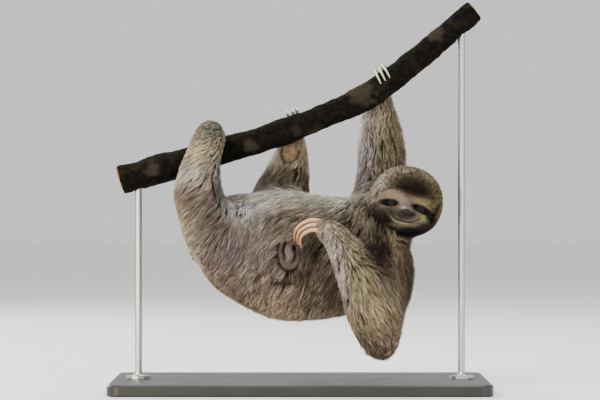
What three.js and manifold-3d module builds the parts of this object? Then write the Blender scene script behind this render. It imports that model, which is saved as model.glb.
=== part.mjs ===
// A three-toed sloth hanging under a cut length of branch, on a plain display stand.
// Millimetres, +Z up, +X towards the sloth's head end, +Y towards its right side.
// The origin is the middle of the stand's underside.
//
// The flesh is a set of soft shapes: each is a function of a point, negative inside. Soft shapes
// melt together, are wrapped in triangles on a lattice, and are then parted with thin flat cuts.

import * as THREE from "three";
import { mergeVertices } from "three/addons/utils/BufferGeometryUtils.js";
import Module from "manifold-3d";

const wasm = await Module();
wasm.setup();

const at = (x, y, z, r) => ({ p: new THREE.Vector3(x, y, z), r });
const plane = (p, n) => ({ p: new THREE.Vector3(...p), n: new THREE.Vector3(...n).normalize() });

// ---------------------------------------------------------------- driving dimensions

const CUT = 0.4; // width of the cuts that part the body
const SOCKET_GAP = 0.7; // round a piece let into another

// Lattice steps: the smaller, the finer the facets.
const CELL = { body: 17.5, arm: 13, foot: 11, tail: 11, skull: 14, face: 6.2 };

const BASE = { length: 524, depth: 300, height: 16, corner: 18, bevel: 2 };
const ROD = { radius: 5, flange: 17, flangeHeight: 4, fillet: 5, depthInBranch: 9, sides: 12 };
const ROD_X = { left: -226, right: 226 };

// The branch's centre line: where it is along X, how high, and how thick.
const BRANCH = [
  { x: -253, z: 293, r: 22 },
  { x: -206, z: 306, r: 21.5 },
  { x: -168, z: 317, r: 19.5 },
  { x: -106, z: 336, r: 21 },
  { x: -56, z: 350, r: 19 },
  { x: 0, z: 369, r: 18.5 },
  { x: 57, z: 394, r: 18 },
  { x: 94, z: 412, r: 19.5 },
  { x: 129, z: 435, r: 19 },
  { x: 165, z: 464, r: 18.5 },
  { x: 198, z: 491, r: 18 },
  { x: 246, z: 533, r: 17.5 },
];
const BRANCH_KNOTS = [
  { x: -186, r: 4.5, turn: 0.6, reach: 16 },
  { x: 86, r: 3, turn: -1.3, reach: 20 },
  { x: -28, r: 3, turn: 2.6, reach: 18 },
];
const BRANCH_GRAIN = { sides: 12, steps: 17 };

const SHORTEST_EDGE = 1.5; // of the flesh and bark, once slivers are closed
const MOST_TURN = 0.5; // cosine of the most that a face may turn as slivers are closed

const CLAW = { root: 3.7, hookRoot: 3.1, tip: 0.9, sides: 6, steps: 6 };
const EYE_RADIUS = 5.6;

const TORSO = [
  { centre: [-92, 4, 207], radii: [55, 62, 64] }, // pelvis
  { centre: [-15, 0, 188], radii: [95, 80, 90] }, // belly
  { centre: [58, 0, 184], radii: [82, 70, 75] }, // chest
];
const TORSO_SOFTNESS = 40;
const LIMB_SOFTNESS = 20;
const NECK = [at(96, -4, 218, 48), at(140, -20, 254, 43)];
const NECK_CUTS = {
  base: plane([108, -6, 226], [0.74, -0.24, 0.62]),
  head: plane([127, -21, 247], [0.69, -0.42, 0.59]),
};
const SHOULDER_LEFT = { centre: [118, -40, 205], radii: [42, 42, 42] };
const TAIL = [at(-124, 18, 194, 18), at(-157, 21, 206, 11)];
const TAIL_CUT = plane([-130, 18, 196], [-0.94, 0.08, 0.34]);

// Each limb's joints, from the trunk out, each with the radius of the coat there. "whole" is where
// the limb is parted from the trunk, "cuts" says at which joints it is parted into the lengths
// that "names" lists.
const LIMBS = {
  arm_left: {
    joints: [
      at(118, -40, 205, 42),
      at(118, -56, 150, 37),
      at(109, -70, 76, 27.5),
      at(96, -90, 116, 33),
      at(85, -98, 152, 30),
      at(58, -106, 205, 25),
      at(33, -102, 230, 16),
    ],
    whole: [plane([100, -38, 170], [0.62, -0.72, -0.3])],
    cuts: [2, 5],
    names: ["arm_left_upper", "arm_left_forearm", "hand_left"],
  },
  arm_right: {
    joints: [
      at(84, 38, 206, 42),
      at(118, 108, 280, 37),
      at(117, 80, 336, 34),
      at(112, 48, 398, 24),
      at(112, 34, 430, 15),
    ],
    whole: [plane([88, 55, 234], [0.39, 0.7, 0.61]), plane([0, 34, 0], [0, 1, 0])],
    cuts: [1, 3],
    names: ["arm_right_upper", "arm_right_forearm", "hand_right"],
  },
  leg_left: {
    joints: [
      at(-90, -34, 192, 44),
      at(-124, -64, 226, 37),
      at(-142, -58, 276, 32),
      at(-135, -50, 322, 29),
      at(-124, -37, 355, 20.5),
      at(-124, -6, 363, 15),
    ],
    whole: [plane([-102, -45, 204], [-0.57, -0.5, 0.65]), plane([0, -6, 0], [0, -1, 0])],
    cuts: [1, 3],
    names: ["leg_left_thigh", "leg_left_shank", "foot_left"],
  },
  leg_right: {
    joints: [
      at(-78, 42, 192, 44),
      at(-28, 80, 268, 40),
      at(-17, 58, 304, 30),
      at(-13, 43, 329, 24),
      at(-12, 35, 362, 16),
    ],
    whole: [plane([-25, 56, 245], [-0.12, 0.7, 0.71]), plane([45, 0, 0], [-1, 0, 0])],
    cuts: [1, 3],
    names: ["leg_right_thigh", "leg_right_shank", "foot_right"],
  },
};

// The head, in its own axes: X to its left side, Y out of its back, Z to its crown. Each shape
// melts into those before it.
const HEAD = { centre: [148, -36, 263], rollDeg: 12, yawDeg: 3 };
const FACE_X = -3.4; // the face's middle lies a little to the right side of the skull's
const HEAD_SHAPES = [
  { centre: [0, 9, 5], radii: [53, 49, 47.5], melt: 20 }, // skull
  { centre: [0, -1, -14], radii: [46, 43, 34], melt: 16 }, // jowls
  { centre: [FACE_X, -15, -10], radii: [39, 28, 32], melt: 10 }, // face disc
  { centre: [FACE_X, -36, -20], radii: [17, 20, 13], melt: 10 }, // muzzle
  { centre: [FACE_X, -33, -33], radii: [15, 14, 8], melt: 7 }, // chin
  { centre: [FACE_X, -53, -14], radii: [9.5, 6, 6.5], melt: 4 }, // nose
  ...[1, -1].flatMap((side) => [
    { centre: [FACE_X + side * 18, -36, 4], radii: [13, 8, 5.5], melt: 6 }, // brow
    { centre: [FACE_X + side * 22, -29, -20], radii: [13, 12, 11], melt: 8 }, // cheek
  ]),
];
const FACE_FRONT = -14; // the finer lattice starts here, along the head's Y
const EYES = { apart: 40, forward: 38, up: -5.5, dent: [9, 7, 6], dentDepth: 7, dentSoftness: 4 };

// ---------------------------------------------------------------- soft shapes

const ball = ({ centre, radii }) => {
  const [a, b, c] = radii;
  return (x, y, z) => {
    const [dx, dy, dz] = [x - centre[0], y - centre[1], z - centre[2]];
    const near = Math.hypot(dx / a, dy / b, dz / c);
    const slope = Math.hypot(dx / (a * a), dy / (b * b), dz / (c * c));
    return near < 1e-6 ? -Math.min(a, b, c) : (near * (near - 1)) / slope;
  };
};

// A length of limb: two balls of different size and all that lies between them.
const length = (from, to) => {
  const along = to.p.clone().sub(from.p);
  const offset = new THREE.Vector3();
  return (x, y, z) => {
    offset.set(x, y, z).sub(from.p);
    const t = THREE.MathUtils.clamp(offset.dot(along) / along.lengthSq(), 0, 1);
    return offset.addScaledVector(along, -t).length() - THREE.MathUtils.lerp(from.r, to.r, t);
  };
};

const meltTwo = (one, two, soft) => {
  const share = Math.max(soft - Math.abs(one - two), 0) / soft;
  return Math.min(one, two) - (share * share * soft) / 4;
};
const melt = (soft, ...shapes) => (x, y, z) =>
  shapes.reduce((least, shape) => meltTwo(least, shape(x, y, z), soft), 1e3);

const chain = (joints, soft = 10) =>
  melt(soft, ...joints.slice(1).map((joint, i) => length(joints[i], joint)));

// ---------------------------------------------------------------- triangles and solids

// Wraps a soft shape on a lattice: one vertex in each cell that the surface crosses, at the mean of
// the crossings, and one quad round each lattice edge that it crosses.
function wrap(shape, box, cell) {
  const low = box.min.map((v) => Math.floor(v / cell) - 2);
  const size = box.max.map((v, i) => Math.ceil(v / cell) + 2 - low[i]);
  const step = [1, size[0] + 1, (size[0] + 1) * (size[1] + 1)];
  const value = new Float64Array(step[2] * (size[2] + 1));
  const indexOf = (i, j, k) => i + j * step[1] + k * step[2];
  const each = ([ni, nj, nk], visit) => {
    for (let n = 0; n < ni * nj * nk; n++) {
      visit(n % ni, Math.floor(n / ni) % nj, Math.floor(n / (ni * nj)));
    }
  };
  each(
    size.map((n) => n + 1),
    (...node) => {
      const [x, y, z] = node.map((n, axis) => (n + low[axis]) * cell);
      value[indexOf(...node)] = shape(x, y, z) || 1e-6;
    },
  );

  const corners = [0, 1, 2, 3, 4, 5, 6, 7].map((c) => [c & 1, (c >> 1) & 1, c >> 2]);
  const neighbours = (a, b) => a.reduce((sum, v, n) => sum + Math.abs(v - b[n]), 0) === 1;
  const edges = corners.flatMap((a, i) =>
    corners.slice(i + 1).flatMap((b) => (neighbours(a, b) ? [[a, b]] : [])),
  );
  const vertexOf = new Int32Array(value.length).fill(-1);
  const places = [];
  each(size, (i, j, k) => {
    const valueAt = (c) => value[indexOf(i + c[0], j + c[1], k + c[2])];
    const crossed = edges.filter(([a, b]) => valueAt(a) < 0 !== valueAt(b) < 0);
    if (crossed.length === 0) return;
    const mean = [0, 0, 0];
    for (const [a, b] of crossed) {
      const t = valueAt(a) / (valueAt(a) - valueAt(b));
      mean.forEach((_, n) => (mean[n] += (a[n] + t * (b[n] - a[n])) / crossed.length));
    }
    vertexOf[indexOf(i, j, k)] = places.length / 3;
    places.push(...[i, j, k].map((n, axis) => (n + low[axis] + mean[axis]) * cell));
  });

  const apart = (a, b) => Math.hypot(...[0, 1, 2].map((n) => places[3 * a + n] - places[3 * b + n]));
  const triangles = [];
  each(size, (...node) => {
    const here = indexOf(...node);
    for (const axis of [0, 1, 2]) {
      const inside = value[here] < 0;
      if (inside === value[here + step[axis]] < 0) continue;
      const [one, two] = [step[(axis + 1) % 3], step[(axis + 2) % 3]];
      const ring = [here, here - one, here - one - two, here - two].map((n) => vertexOf[n]);
      if (!inside) ring.reverse();
      const [a, b, c, d] = ring;
      triangles.push(...(apart(a, c) < apart(b, d) ? [a, b, c, a, c, d] : [a, b, d, b, c, d]));
    }
  });
  return solidFrom(new Float32Array(places), new Uint32Array(triangles));
}

const solidFrom = (vertProperties, triVerts) =>
  new wasm.Manifold(new wasm.Mesh({ numProp: 3, vertProperties, triVerts }));

function solidOf(geometry) {
  const bare = geometry.clone();
  bare.deleteAttribute("normal");
  bare.deleteAttribute("uv");
  const merged = mergeVertices(bare, 1e-3);
  return solidFrom(merged.attributes.position.array, new Uint32Array(merged.index.array));
}

function geometryOf(solid) {
  const mesh = solid.getMesh();
  const geometry = new THREE.BufferGeometry();
  geometry.setAttribute("position", new THREE.BufferAttribute(mesh.vertProperties, 3));
  geometry.setIndex(new THREE.BufferAttribute(mesh.triVerts, 1));
  geometry.computeVertexNormals();
  return geometry;
}

// A soft solid with every vertex moved out by the width of a gap.
function swollen(solid) {
  const geometry = geometryOf(solid);
  const { position, normal } = geometry.attributes;
  const vertex = new THREE.Vector3();
  const out = new THREE.Vector3();
  for (let i = 0; i < position.count; i++) {
    vertex.fromBufferAttribute(position, i);
    vertex.addScaledVector(out.fromBufferAttribute(normal, i), SOCKET_GAP);
    position.setXYZ(i, ...vertex);
  }
  return solidOf(geometry);
}

// A geometry without the slivers that cuts leave: its shortest edges are closed up, one by one,
// where that keeps the surface closed and turns no face over.
function withoutSlivers(geometry) {
  const places = [];
  const { position } = geometry.attributes;
  for (let i = 0; i < position.count; i++) {
    places.push(new THREE.Vector3().fromBufferAttribute(position, i));
  }
  const faces = [];
  const index = [...geometry.index.array];
  while (index.length) faces.push(index.splice(0, 3));
  const facesAt = places.map(() => new Set());
  faces.forEach((face, f) => face.forEach((v) => facesAt[v].add(f)));

  const triangle = new THREE.Triangle();
  const normalOf = (face) => {
    triangle.set(...face.map((v) => places[v]));
    return triangle.getNormal(new THREE.Vector3());
  };
  const neighboursOf = (v) => new Set([...facesAt[v]].flatMap((f) => faces[f]));
  const close = (keep, drop) => {
    const around = neighboursOf(drop);
    if ([...neighboursOf(keep)].filter((v) => around.has(v)).length !== 4) return;
    const moved = [...new Set([...facesAt[keep], ...facesAt[drop]])].filter(
      (f) => !(facesAt[keep].has(f) && facesAt[drop].has(f)),
    );
    const facing = moved.map((f) => normalOf(faces[f]));
    const old = [places[keep], places[drop]];
    places[keep] = old[0].clone().lerp(old[1], 0.5);
    places[drop] = places[keep];
    if (moved.some((f, n) => facing[n].dot(normalOf(faces[f])) < MOST_TURN)) {
      [places[keep], places[drop]] = old;
      return;
    }
    for (const f of facesAt[drop]) {
      if (facesAt[keep].has(f)) {
        faces[f].forEach((v) => v !== drop && facesAt[v].delete(f));
        faces[f] = null;
      } else {
        faces[f] = faces[f].map((v) => (v === drop ? keep : v));
        facesAt[keep].add(f);
      }
    }
    facesAt[drop].clear();
  };
  const edges = faces.flatMap(([a, b, c]) => [[a, b], [b, c], [c, a]]).filter(([a, b]) => a < b);
  const lengthOf = ([a, b]) => places[a].distanceTo(places[b]);
  for (const edge of edges.sort((one, two) => lengthOf(one) - lengthOf(two))) {
    const alive = [...facesAt[edge[0]]].some((f) => faces[f].includes(edge[1]));
    if (alive && lengthOf(edge) < SHORTEST_EDGE) close(...edge);
  }
  const kept = faces.filter(Boolean).flat();
  const used = [...new Set(kept)];
  const renumbered = new Map(used.map((v, n) => [v, n]));
  const result = new THREE.BufferGeometry().setFromPoints(used.map((v) => places[v]));
  result.setIndex(kept.map((v) => renumbered.get(v)));
  result.computeVertexNormals();
  return result;
}

const largest = (solid) =>
  solid.decompose().reduce((best, piece) => (piece.volume() > best.volume() ? piece : best));

const without = (solid, ...others) => others.reduce((left, other) => left.subtract(other), solid);

// The parts of a solid on the far and the near side of a plane, half a cut clear of it.
const beyond = (solid, { p, n }) => solid.trimByPlane([...n], n.dot(p) + CUT / 2);
const before = (solid, { p, n }) => solid.trimByPlane([...n.clone().negate()], CUT / 2 - n.dot(p));

// All that lies beyond every one of some planes, "clear" further out, as one large block.
function blockBeyond(planes, clear) {
  const side = 1500;
  const up = new THREE.Vector3(0, 0, 1);
  const slabs = planes.map(({ p, n }) => {
    const box = new THREE.BoxGeometry(side, side, side).translate(0, 0, side / 2 + clear);
    box.applyQuaternion(new THREE.Quaternion().setFromUnitVectors(up, n));
    return solidOf(box.translate(...p));
  });
  return slabs.reduce((left, slab) => left.intersect(slab));
}

const boxRound = (joints, margin = 8) => ({
  min: ["x", "y", "z"].map((axis) => Math.min(...joints.map((j) => j.p[axis] - j.r)) - margin),
  max: ["x", "y", "z"].map((axis) => Math.max(...joints.map((j) => j.p[axis] + j.r)) + margin),
});

// ---------------------------------------------------------------- the branch and the stand

const branchLine = new THREE.CatmullRomCurve3(
  BRANCH.map((b) => new THREE.Vector3(b.x, 0, b.z)),
  false,
  "centripetal",
);

function branchAt(x) {
  const last = BRANCH.length - 2;
  const next = BRANCH.findIndex((b) => b.x > x);
  const i = next < 0 ? last : Math.max(0, next - 1);
  const [a, b] = [BRANCH[i], BRANCH[i + 1]];
  const t = (x - a.x) / (b.x - a.x);
  return {
    z: THREE.MathUtils.lerp(a.z, b.z, t),
    r: THREE.MathUtils.lerp(a.r, b.r, t),
    slope: Math.atan2(b.z - a.z, b.x - a.x),
  };
}

// A closed cylinder laid along the branch's line and swollen at its knots.
function branchGeometry(extra = 0) {
  const geometry = new THREE.CylinderGeometry(1, 1, 1, BRANCH_GRAIN.sides, BRANCH_GRAIN.steps);
  const places = geometry.attributes.position;
  const across = new THREE.Vector3(0, 1, 0);
  for (let i = 0; i < places.count; i++) {
    const t = places.getY(i) + 0.5;
    const middle = branchLine.getPoint(t);
    const up = branchLine.getTangent(t).cross(across);
    const turn = Math.atan2(places.getZ(i), places.getX(i));
    const fromAxis = Math.hypot(places.getX(i), places.getZ(i));
    const swell = BRANCH_KNOTS.map(
      (knot) =>
        knot.r *
        Math.exp(-(((middle.x - knot.x) / knot.reach) ** 2)) *
        (0.5 + 0.5 * Math.cos(turn - knot.turn)),
    );
    const radius = swell.reduce((sum, r) => sum + r, branchAt(middle.x).r + extra) * fromAxis;
    middle.addScaledVector(up, radius * Math.sin(turn));
    middle.addScaledVector(across, -radius * Math.cos(turn));
    places.setXYZ(i, ...middle);
  }
  return geometry;
}

function rodGeometry(x, extra = 0) {
  const foot = BASE.height + CUT;
  const neck = foot + ROD.flangeHeight;
  const top = branchAt(x).z - branchAt(x).r + ROD.depthInBranch + extra;
  const profile = [
    [0, foot],
    [ROD.flange + extra, foot],
    [ROD.flange + extra, neck],
    [ROD.radius + ROD.fillet + extra, neck],
    [ROD.radius + ROD.fillet * 0.3 + extra, neck + ROD.fillet * 0.4],
    [ROD.radius + extra, neck + ROD.fillet],
    [ROD.radius + extra, top],
    [0, top],
  ].map((point) => new THREE.Vector2(...point));
  return new THREE.LatheGeometry(profile, ROD.sides).rotateX(Math.PI / 2).translate(x, 0, 0);
}

function baseGeometry() {
  const { length: l, depth: d, height: h, corner: c, bevel: b } = BASE;
  const outline = new THREE.Shape();
  const corners = [
    [l / 2 - c, -d / 2 + c],
    [l / 2 - c, d / 2 - c],
    [-l / 2 + c, d / 2 - c],
    [-l / 2 + c, -d / 2 + c],
  ];
  corners.forEach(([x, y], n) => {
    outline.absarc(x, y, c - b, ((n - 1) * Math.PI) / 2, (n * Math.PI) / 2);
  });
  const bevels = { bevelThickness: b, bevelSize: b, bevelSegments: 1 };
  return new THREE.ExtrudeGeometry(outline, { depth: h - 2 * b, curveSegments: 4, ...bevels })
    .translate(0, 0, b);
}

// ---------------------------------------------------------------- claws

// A tapering hook along a curve, as a closed bent cylinder.
function clawGeometry(curve, root, extra = 0) {
  const geometry = new THREE.CylinderGeometry(1, 1, 1, CLAW.sides, CLAW.steps);
  const places = geometry.attributes.position;
  const frames = curve.computeFrenetFrames(CLAW.steps, false);
  for (let i = 0; i < places.count; i++) {
    const t = places.getY(i) + 0.5;
    const n = Math.round(t * CLAW.steps);
    const middle = curve.getPointAt(t);
    const radius = THREE.MathUtils.lerp(root, CLAW.tip, t ** 1.6) + extra;
    const end = n === 0 ? -1 : Number(n === CLAW.steps);
    middle.addScaledVector(frames.normals[n], radius * places.getX(i));
    middle.addScaledVector(frames.binormals[n], -radius * places.getZ(i));
    middle.addScaledVector(frames.tangents[n], extra * end);
    places.setXYZ(i, ...middle);
  }
  return geometry;
}

// A hook round the branch near x. It starts and ends at the given angles round the branch, where 0
// is its far side and 90 its top, and stands off the bark by the first lift and then the second.
function hookCurve({ x, lean, from, to, lift }) {
  const quarters = [0, 0.25, 0.5, 0.75, 1];
  return new THREE.CatmullRomCurve3(
    quarters.map((t) => {
      const turn = THREE.MathUtils.degToRad(THREE.MathUtils.lerp(from, to, t));
      const here = branchAt(x + lean * t);
      const reach = here.r + THREE.MathUtils.lerp(...lift, t);
      const up = reach * Math.sin(turn);
      return new THREE.Vector3(
        x + lean * t - Math.sin(here.slope) * up,
        reach * Math.cos(turn),
        here.z + Math.cos(here.slope) * up,
      );
    }),
  );
}

// The left hand's claws reach over the flank and turn down into the coat: the path of the uppermost,
// from inside the knuckles to the tip, and how each further claw is shifted and bent.
const SCRATCH_PATH = [
  [29, -95, 237],
  [15, -100, 239],
  [4, -101, 235],
  [-5, -98, 228],
  [-8, -92, 219],
  [-7, -82, 209],
];
const SCRATCH_STEP = { x: 0.5, tipX: 4.2, y: -4.6, z: -6.9, tipZ: 2.4 };

const scratchCurve = (n) =>
  new THREE.CatmullRomCurve3(
    SCRATCH_PATH.map(([x, y, z], i) => {
      const t = i / (SCRATCH_PATH.length - 1);
      return new THREE.Vector3(
        x + n * (SCRATCH_STEP.x + SCRATCH_STEP.tipX * t),
        y + n * SCRATCH_STEP.y,
        z + n * (SCRATCH_STEP.z + SCRATCH_STEP.tipZ * t),
      );
    }),
  );

const CLAW_SETS = {
  hand_left: { root: CLAW.root, curve: scratchCurve },
  hand_right: {
    root: CLAW.hookRoot,
    curve: (n) => hookCurve({ x: 120.5 + n * 6.2, lean: -6, from: 25, to: 173, lift: [7, 3.5] }),
  },
  foot_left: {
    root: CLAW.hookRoot,
    curve: (n) => hookCurve({ x: -132 + n * 7.5, lean: 2, from: 82, to: -34, lift: [7, 4] }),
  },
  foot_right: {
    root: CLAW.hookRoot,
    curve: (n) => hookCurve({ x: -11 + n * 7.4, lean: 2, from: 30, to: 116, lift: [11, 5.5] }),
  },
};

// ---------------------------------------------------------------- the head

const headFrame = new THREE.Matrix4()
  .makeTranslation(...HEAD.centre)
  .multiply(new THREE.Matrix4().makeRotationZ(THREE.MathUtils.degToRad(HEAD.yawDeg)))
  .multiply(new THREE.Matrix4().makeRotationY(THREE.MathUtils.degToRad(HEAD.rollDeg)));

const headShape = (...p) =>
  HEAD_SHAPES.reduce((least, shape) => meltTwo(least, ball(shape)(...p), shape.melt), 1e3);
const eyeDents = [1, -1].map((side) =>
  ball({
    centre: [FACE_X + (side * EYES.apart) / 2, -EYES.forward - EYES.dentDepth, EYES.up],
    radii: EYES.dent,
  }),
);
const headWithDents = (...p) =>
  -eyeDents.reduce((least, dent) => meltTwo(least, dent(...p), EYES.dentSoftness), -headShape(...p));

const eyePlace = (side) => {
  const x = FACE_X + (side * EYES.apart) / 2;
  return new THREE.Vector3(x, -EYES.forward, EYES.up).applyMatrix4(headFrame);
};

// The face is wrapped on a finer lattice than the skull behind it, and the two are joined.
function headSolid() {
  const room = { min: [-66, -70, -62], max: [66, 66, 62] };
  const front = plane([0, FACE_FRONT, 0], [0, -1, 0]);
  const back = plane([0, FACE_FRONT - 2 * CUT, 0], [0, 1, 0]);
  const face = beyond(wrap(headWithDents, room, CELL.face), front);
  const skull = beyond(wrap(headWithDents, room, CELL.skull), back);
  return solidOf(geometryOf(face.add(skull)).applyMatrix4(headFrame));
}

// ---------------------------------------------------------------- the body, part by part

const solids = {};
const limbShape = ({ joints }) => chain(joints);
const endShape = ({ joints, cuts }) => chain(joints.slice(cuts[1]));
const lengthShape = ({ joints, cuts }) => chain(joints.slice(0, cuts[1] + 1));

// The plane across a limb at one of its joints, which halves the angle there.
const jointPlane = (joints, n) => {
  const [back, joint, on] = [joints[n - 1].p, joints[n].p, joints[n + 1].p];
  const forward = on.clone().sub(joint).normalize();
  return { p: joint, n: forward.sub(back.clone().sub(joint).normalize()).normalize() };
};

const { arm_left: nearArm, ...meltedLimbs } = LIMBS;
const bodyShape = melt(
  LIMB_SOFTNESS,
  melt(TORSO_SOFTNESS, ...TORSO.map(ball), length(...NECK)),
  ball(SHOULDER_LEFT),
  ...Object.values(meltedLimbs).map(lengthShape),
);
const bodyBox = boxRound([
  ...Object.values(meltedLimbs).flatMap((limb) => limb.joints),
  at(-20, 0, 188, 100),
  at(60, 0, 188, 100),
]);
const body = wrap(bodyShape, bodyBox, CELL.body);
const branchRoom = solidOf(branchGeometry(SOCKET_GAP));

for (const [limb, spec] of Object.entries(LIMBS)) {
  const [upperName, lowerName, endName] = spec.names;
  const [middle, wrist] = spec.cuts.map((n) => jointPlane(spec.joints, n));
  const whole =
    limb === "arm_left"
      ? wrap(lengthShape(spec), boxRound(spec.joints), CELL.arm)
      : largest(body.intersect(blockBeyond(spec.whole, CUT / 2)));
  const upper = before(whole, middle);
  solids[upperName] = limb === "arm_left" ? beyond(upper, spec.whole[0]) : upper;
  solids[lowerName] = before(beyond(whole, middle), wrist).subtract(branchRoom);
  const end = wrap(endShape(spec), boxRound(spec.joints.slice(spec.cuts[1])), CELL.foot);
  solids[endName] = beyond(end, wrist).subtract(branchRoom);
}
solids.arm_left_upper = before(solids.arm_left_upper, NECK_CUTS.head);

const tail = wrap(length(...TAIL), boxRound(TAIL), CELL.tail);
const limbBlock = ({ whole }) => blockBeyond(whole, -CUT / 2);
const torso = largest(without(body, ...Object.values(LIMBS).map(limbBlock)));
solids.tail = beyond(tail, TAIL_CUT).subtract(limbBlock(LIMBS.leg_left));
solids.trunk = before(torso, NECK_CUTS.base).subtract(swollen(tail));
solids.neck = before(beyond(torso, NECK_CUTS.base), NECK_CUTS.head);

solids.head = beyond(headSolid(), NECK_CUTS.head);
for (const [name, side] of Object.entries({ eye_left: 1, eye_right: -1 })) {
  const eye = (extra) =>
    solidOf(new THREE.SphereGeometry(EYE_RADIUS + extra, 12, 8).translate(...eyePlace(side)));
  solids[name] = eye(0);
  solids.head = solids.head.subtract(eye(SOCKET_GAP));
}

// Each claw is let into the hand or foot that it grows from, and the scratching ones into the coat.
for (const [holder, { root, curve }] of Object.entries(CLAW_SETS)) {
  for (const n of [0, 1, 2]) {
    const room = solidOf(clawGeometry(curve(n), root, SOCKET_GAP));
    solids[`claw_${holder}_${n + 1}`] = solidOf(clawGeometry(curve(n), root));
    solids[holder] = solids[holder].subtract(room);
    if (holder === "hand_left") solids.trunk = solids.trunk.subtract(room);
  }
}

// The stand: a flat base, and two rods let into the branch from below.
solids.stand_base = solidOf(baseGeometry());
solids.branch = solidOf(branchGeometry());
for (const [side, x] of Object.entries(ROD_X)) {
  solids[`stand_rod_${side}`] = solidOf(rodGeometry(x));
  solids.branch = solids.branch.subtract(solidOf(rodGeometry(x, CUT)));
}

// ---------------------------------------------------------------- materials and the group

const finish = (color, roughness, metalness = 0) =>
  new THREE.MeshStandardMaterial({ color, roughness, metalness });

const FINISHES = [
  { starts: "eye", material: finish(0x1a120c, 0.15) },
  { starts: "claw_hand_left", material: finish(0xd8a884, 0.45) },
  { starts: "claw", material: finish(0xc9c3ae, 0.5) },
  { starts: "branch", material: finish(0x39332b, 0.9) },
  { starts: "stand_base", material: finish(0x2e2c2a, 0.5) },
  { starts: "stand_rod", material: finish(0x9a9a98, 0.3, 1) },
  { starts: "head", material: finish(0x9c8d78, 0.95) },
  { starts: "", material: finish(0x8f8172, 0.95) },
];

const sloth = new THREE.Group();
for (const [name, solid] of Object.entries(solids)) {
  const { material } = FINISHES.find(({ starts }) => name.startsWith(starts));
  const exact = /^(claw|eye|stand)/.test(name);
  const geometry = geometryOf(largest(solid));
  const mesh = new THREE.Mesh(exact ? geometry : withoutSlivers(geometry), material);
  mesh.name = name;
  sloth.add(mesh);
}

export default sloth;
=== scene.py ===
import math
import time

import bmesh
import bpy
import numpy as np
from mathutils import Matrix, Vector, noise
from mathutils.bvhtree import BVHTree
from mathutils.kdtree import KDTree


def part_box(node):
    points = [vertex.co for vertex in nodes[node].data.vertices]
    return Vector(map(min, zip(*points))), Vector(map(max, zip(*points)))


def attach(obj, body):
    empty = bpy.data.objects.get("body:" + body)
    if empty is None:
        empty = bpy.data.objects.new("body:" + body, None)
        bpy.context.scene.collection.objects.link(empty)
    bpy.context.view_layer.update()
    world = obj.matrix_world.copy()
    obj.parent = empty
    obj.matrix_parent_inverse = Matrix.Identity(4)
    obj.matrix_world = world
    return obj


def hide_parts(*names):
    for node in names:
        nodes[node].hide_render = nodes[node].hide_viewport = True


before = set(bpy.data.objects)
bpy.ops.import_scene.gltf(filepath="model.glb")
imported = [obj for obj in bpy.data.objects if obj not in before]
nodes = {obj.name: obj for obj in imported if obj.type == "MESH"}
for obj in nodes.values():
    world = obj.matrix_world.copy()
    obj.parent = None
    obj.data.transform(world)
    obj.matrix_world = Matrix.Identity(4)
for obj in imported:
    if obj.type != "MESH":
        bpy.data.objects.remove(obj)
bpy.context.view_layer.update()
mm = 0.001
started = time.time()
rng = np.random.default_rng(11)


def report(stage):
    print(f"{time.time() - started:6.1f} s  {stage}")


# tools for materials
def linearColor(hexColor):  # sRGB hex to linear red, green, blue
    parts = [int(hexColor[i:i + 2], 16) / 255 for i in (1, 3, 5)]
    return tuple(c / 12.92 if c <= 0.04045 else ((c + 0.055) / 1.055) ** 2.4 for c in parts)


def rgba(hexColor):
    return (*linearColor(hexColor), 1)


def feed(tree, node, **links):  # a socket goes by its name, or by an underscore and its number
    for name, source in links.items():
        socket = int(name[1:]) if name[1:].isdigit() else name.replace("_", " ")
        tree.links.new(source, node.inputs[socket])


def addNode(tree, kind, settings=None, **links):  # a node, its settings, then what feeds its sockets
    node = tree.nodes.new(kind)
    for key, value in (settings or {}).items():
        if isinstance(key, str) and hasattr(node, key):
            setattr(node, key, value)
        else:
            node.inputs[key].default_value = value
    feed(tree, node, **links)
    return node


def newMaterial(name, **numbers):  # the numbers go on the shader's own sockets
    material = bpy.data.materials.new(name)
    material.use_nodes = True
    shader = material.node_tree.nodes["Principled BSDF"]
    for socket, number in numbers.items():
        shader.inputs[socket.replace("_", " ")].default_value = number
    return material, material.node_tree, shader


def perMetre(size):  # the scale of a pattern whose grains are that many millimetres across
    return 1 / (size * mm)


# tools for meshes
def linked(name, data):
    thing = bpy.data.objects.new(name, data)
    bpy.context.scene.collection.objects.link(thing)
    return thing


def addPiece(name, mesh, material, replaces=()):
    piece = linked(name, mesh)
    mesh.materials.clear()
    mesh.materials.append(material)
    mesh.shade_smooth()
    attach(piece, "root")
    if replaces:
        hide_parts(*replaces)
    return piece


def subdivide(piece, levels):
    rounding = piece.modifiers.new("rounding", "SUBSURF")
    rounding.levels = rounding.render_levels = levels


def meshFrom(shape, name):
    mesh = bpy.data.meshes.new(name)
    shape.to_mesh(mesh)
    shape.free()
    return mesh


def welded(*names):  # CAD nodes in one bmesh, their loose triangles joined
    shape = bmesh.new()
    for name in names:
        shape.from_mesh(nodes[name].data)
    bmesh.ops.remove_doubles(shape, verts=shape.verts, dist=0.01 * mm)
    return shape


def remeshed(shape, name, voxel):
    holder = linked("remeshing", meshFrom(shape, name))
    modifier = holder.modifiers.new("voxels", "REMESH")
    modifier.mode = "VOXEL"
    modifier.voxel_size = voxel * mm
    made = bpy.data.meshes.new_from_object(holder.evaluated_get(bpy.context.evaluated_depsgraph_get()))
    bpy.data.objects.remove(holder)
    return made


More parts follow.
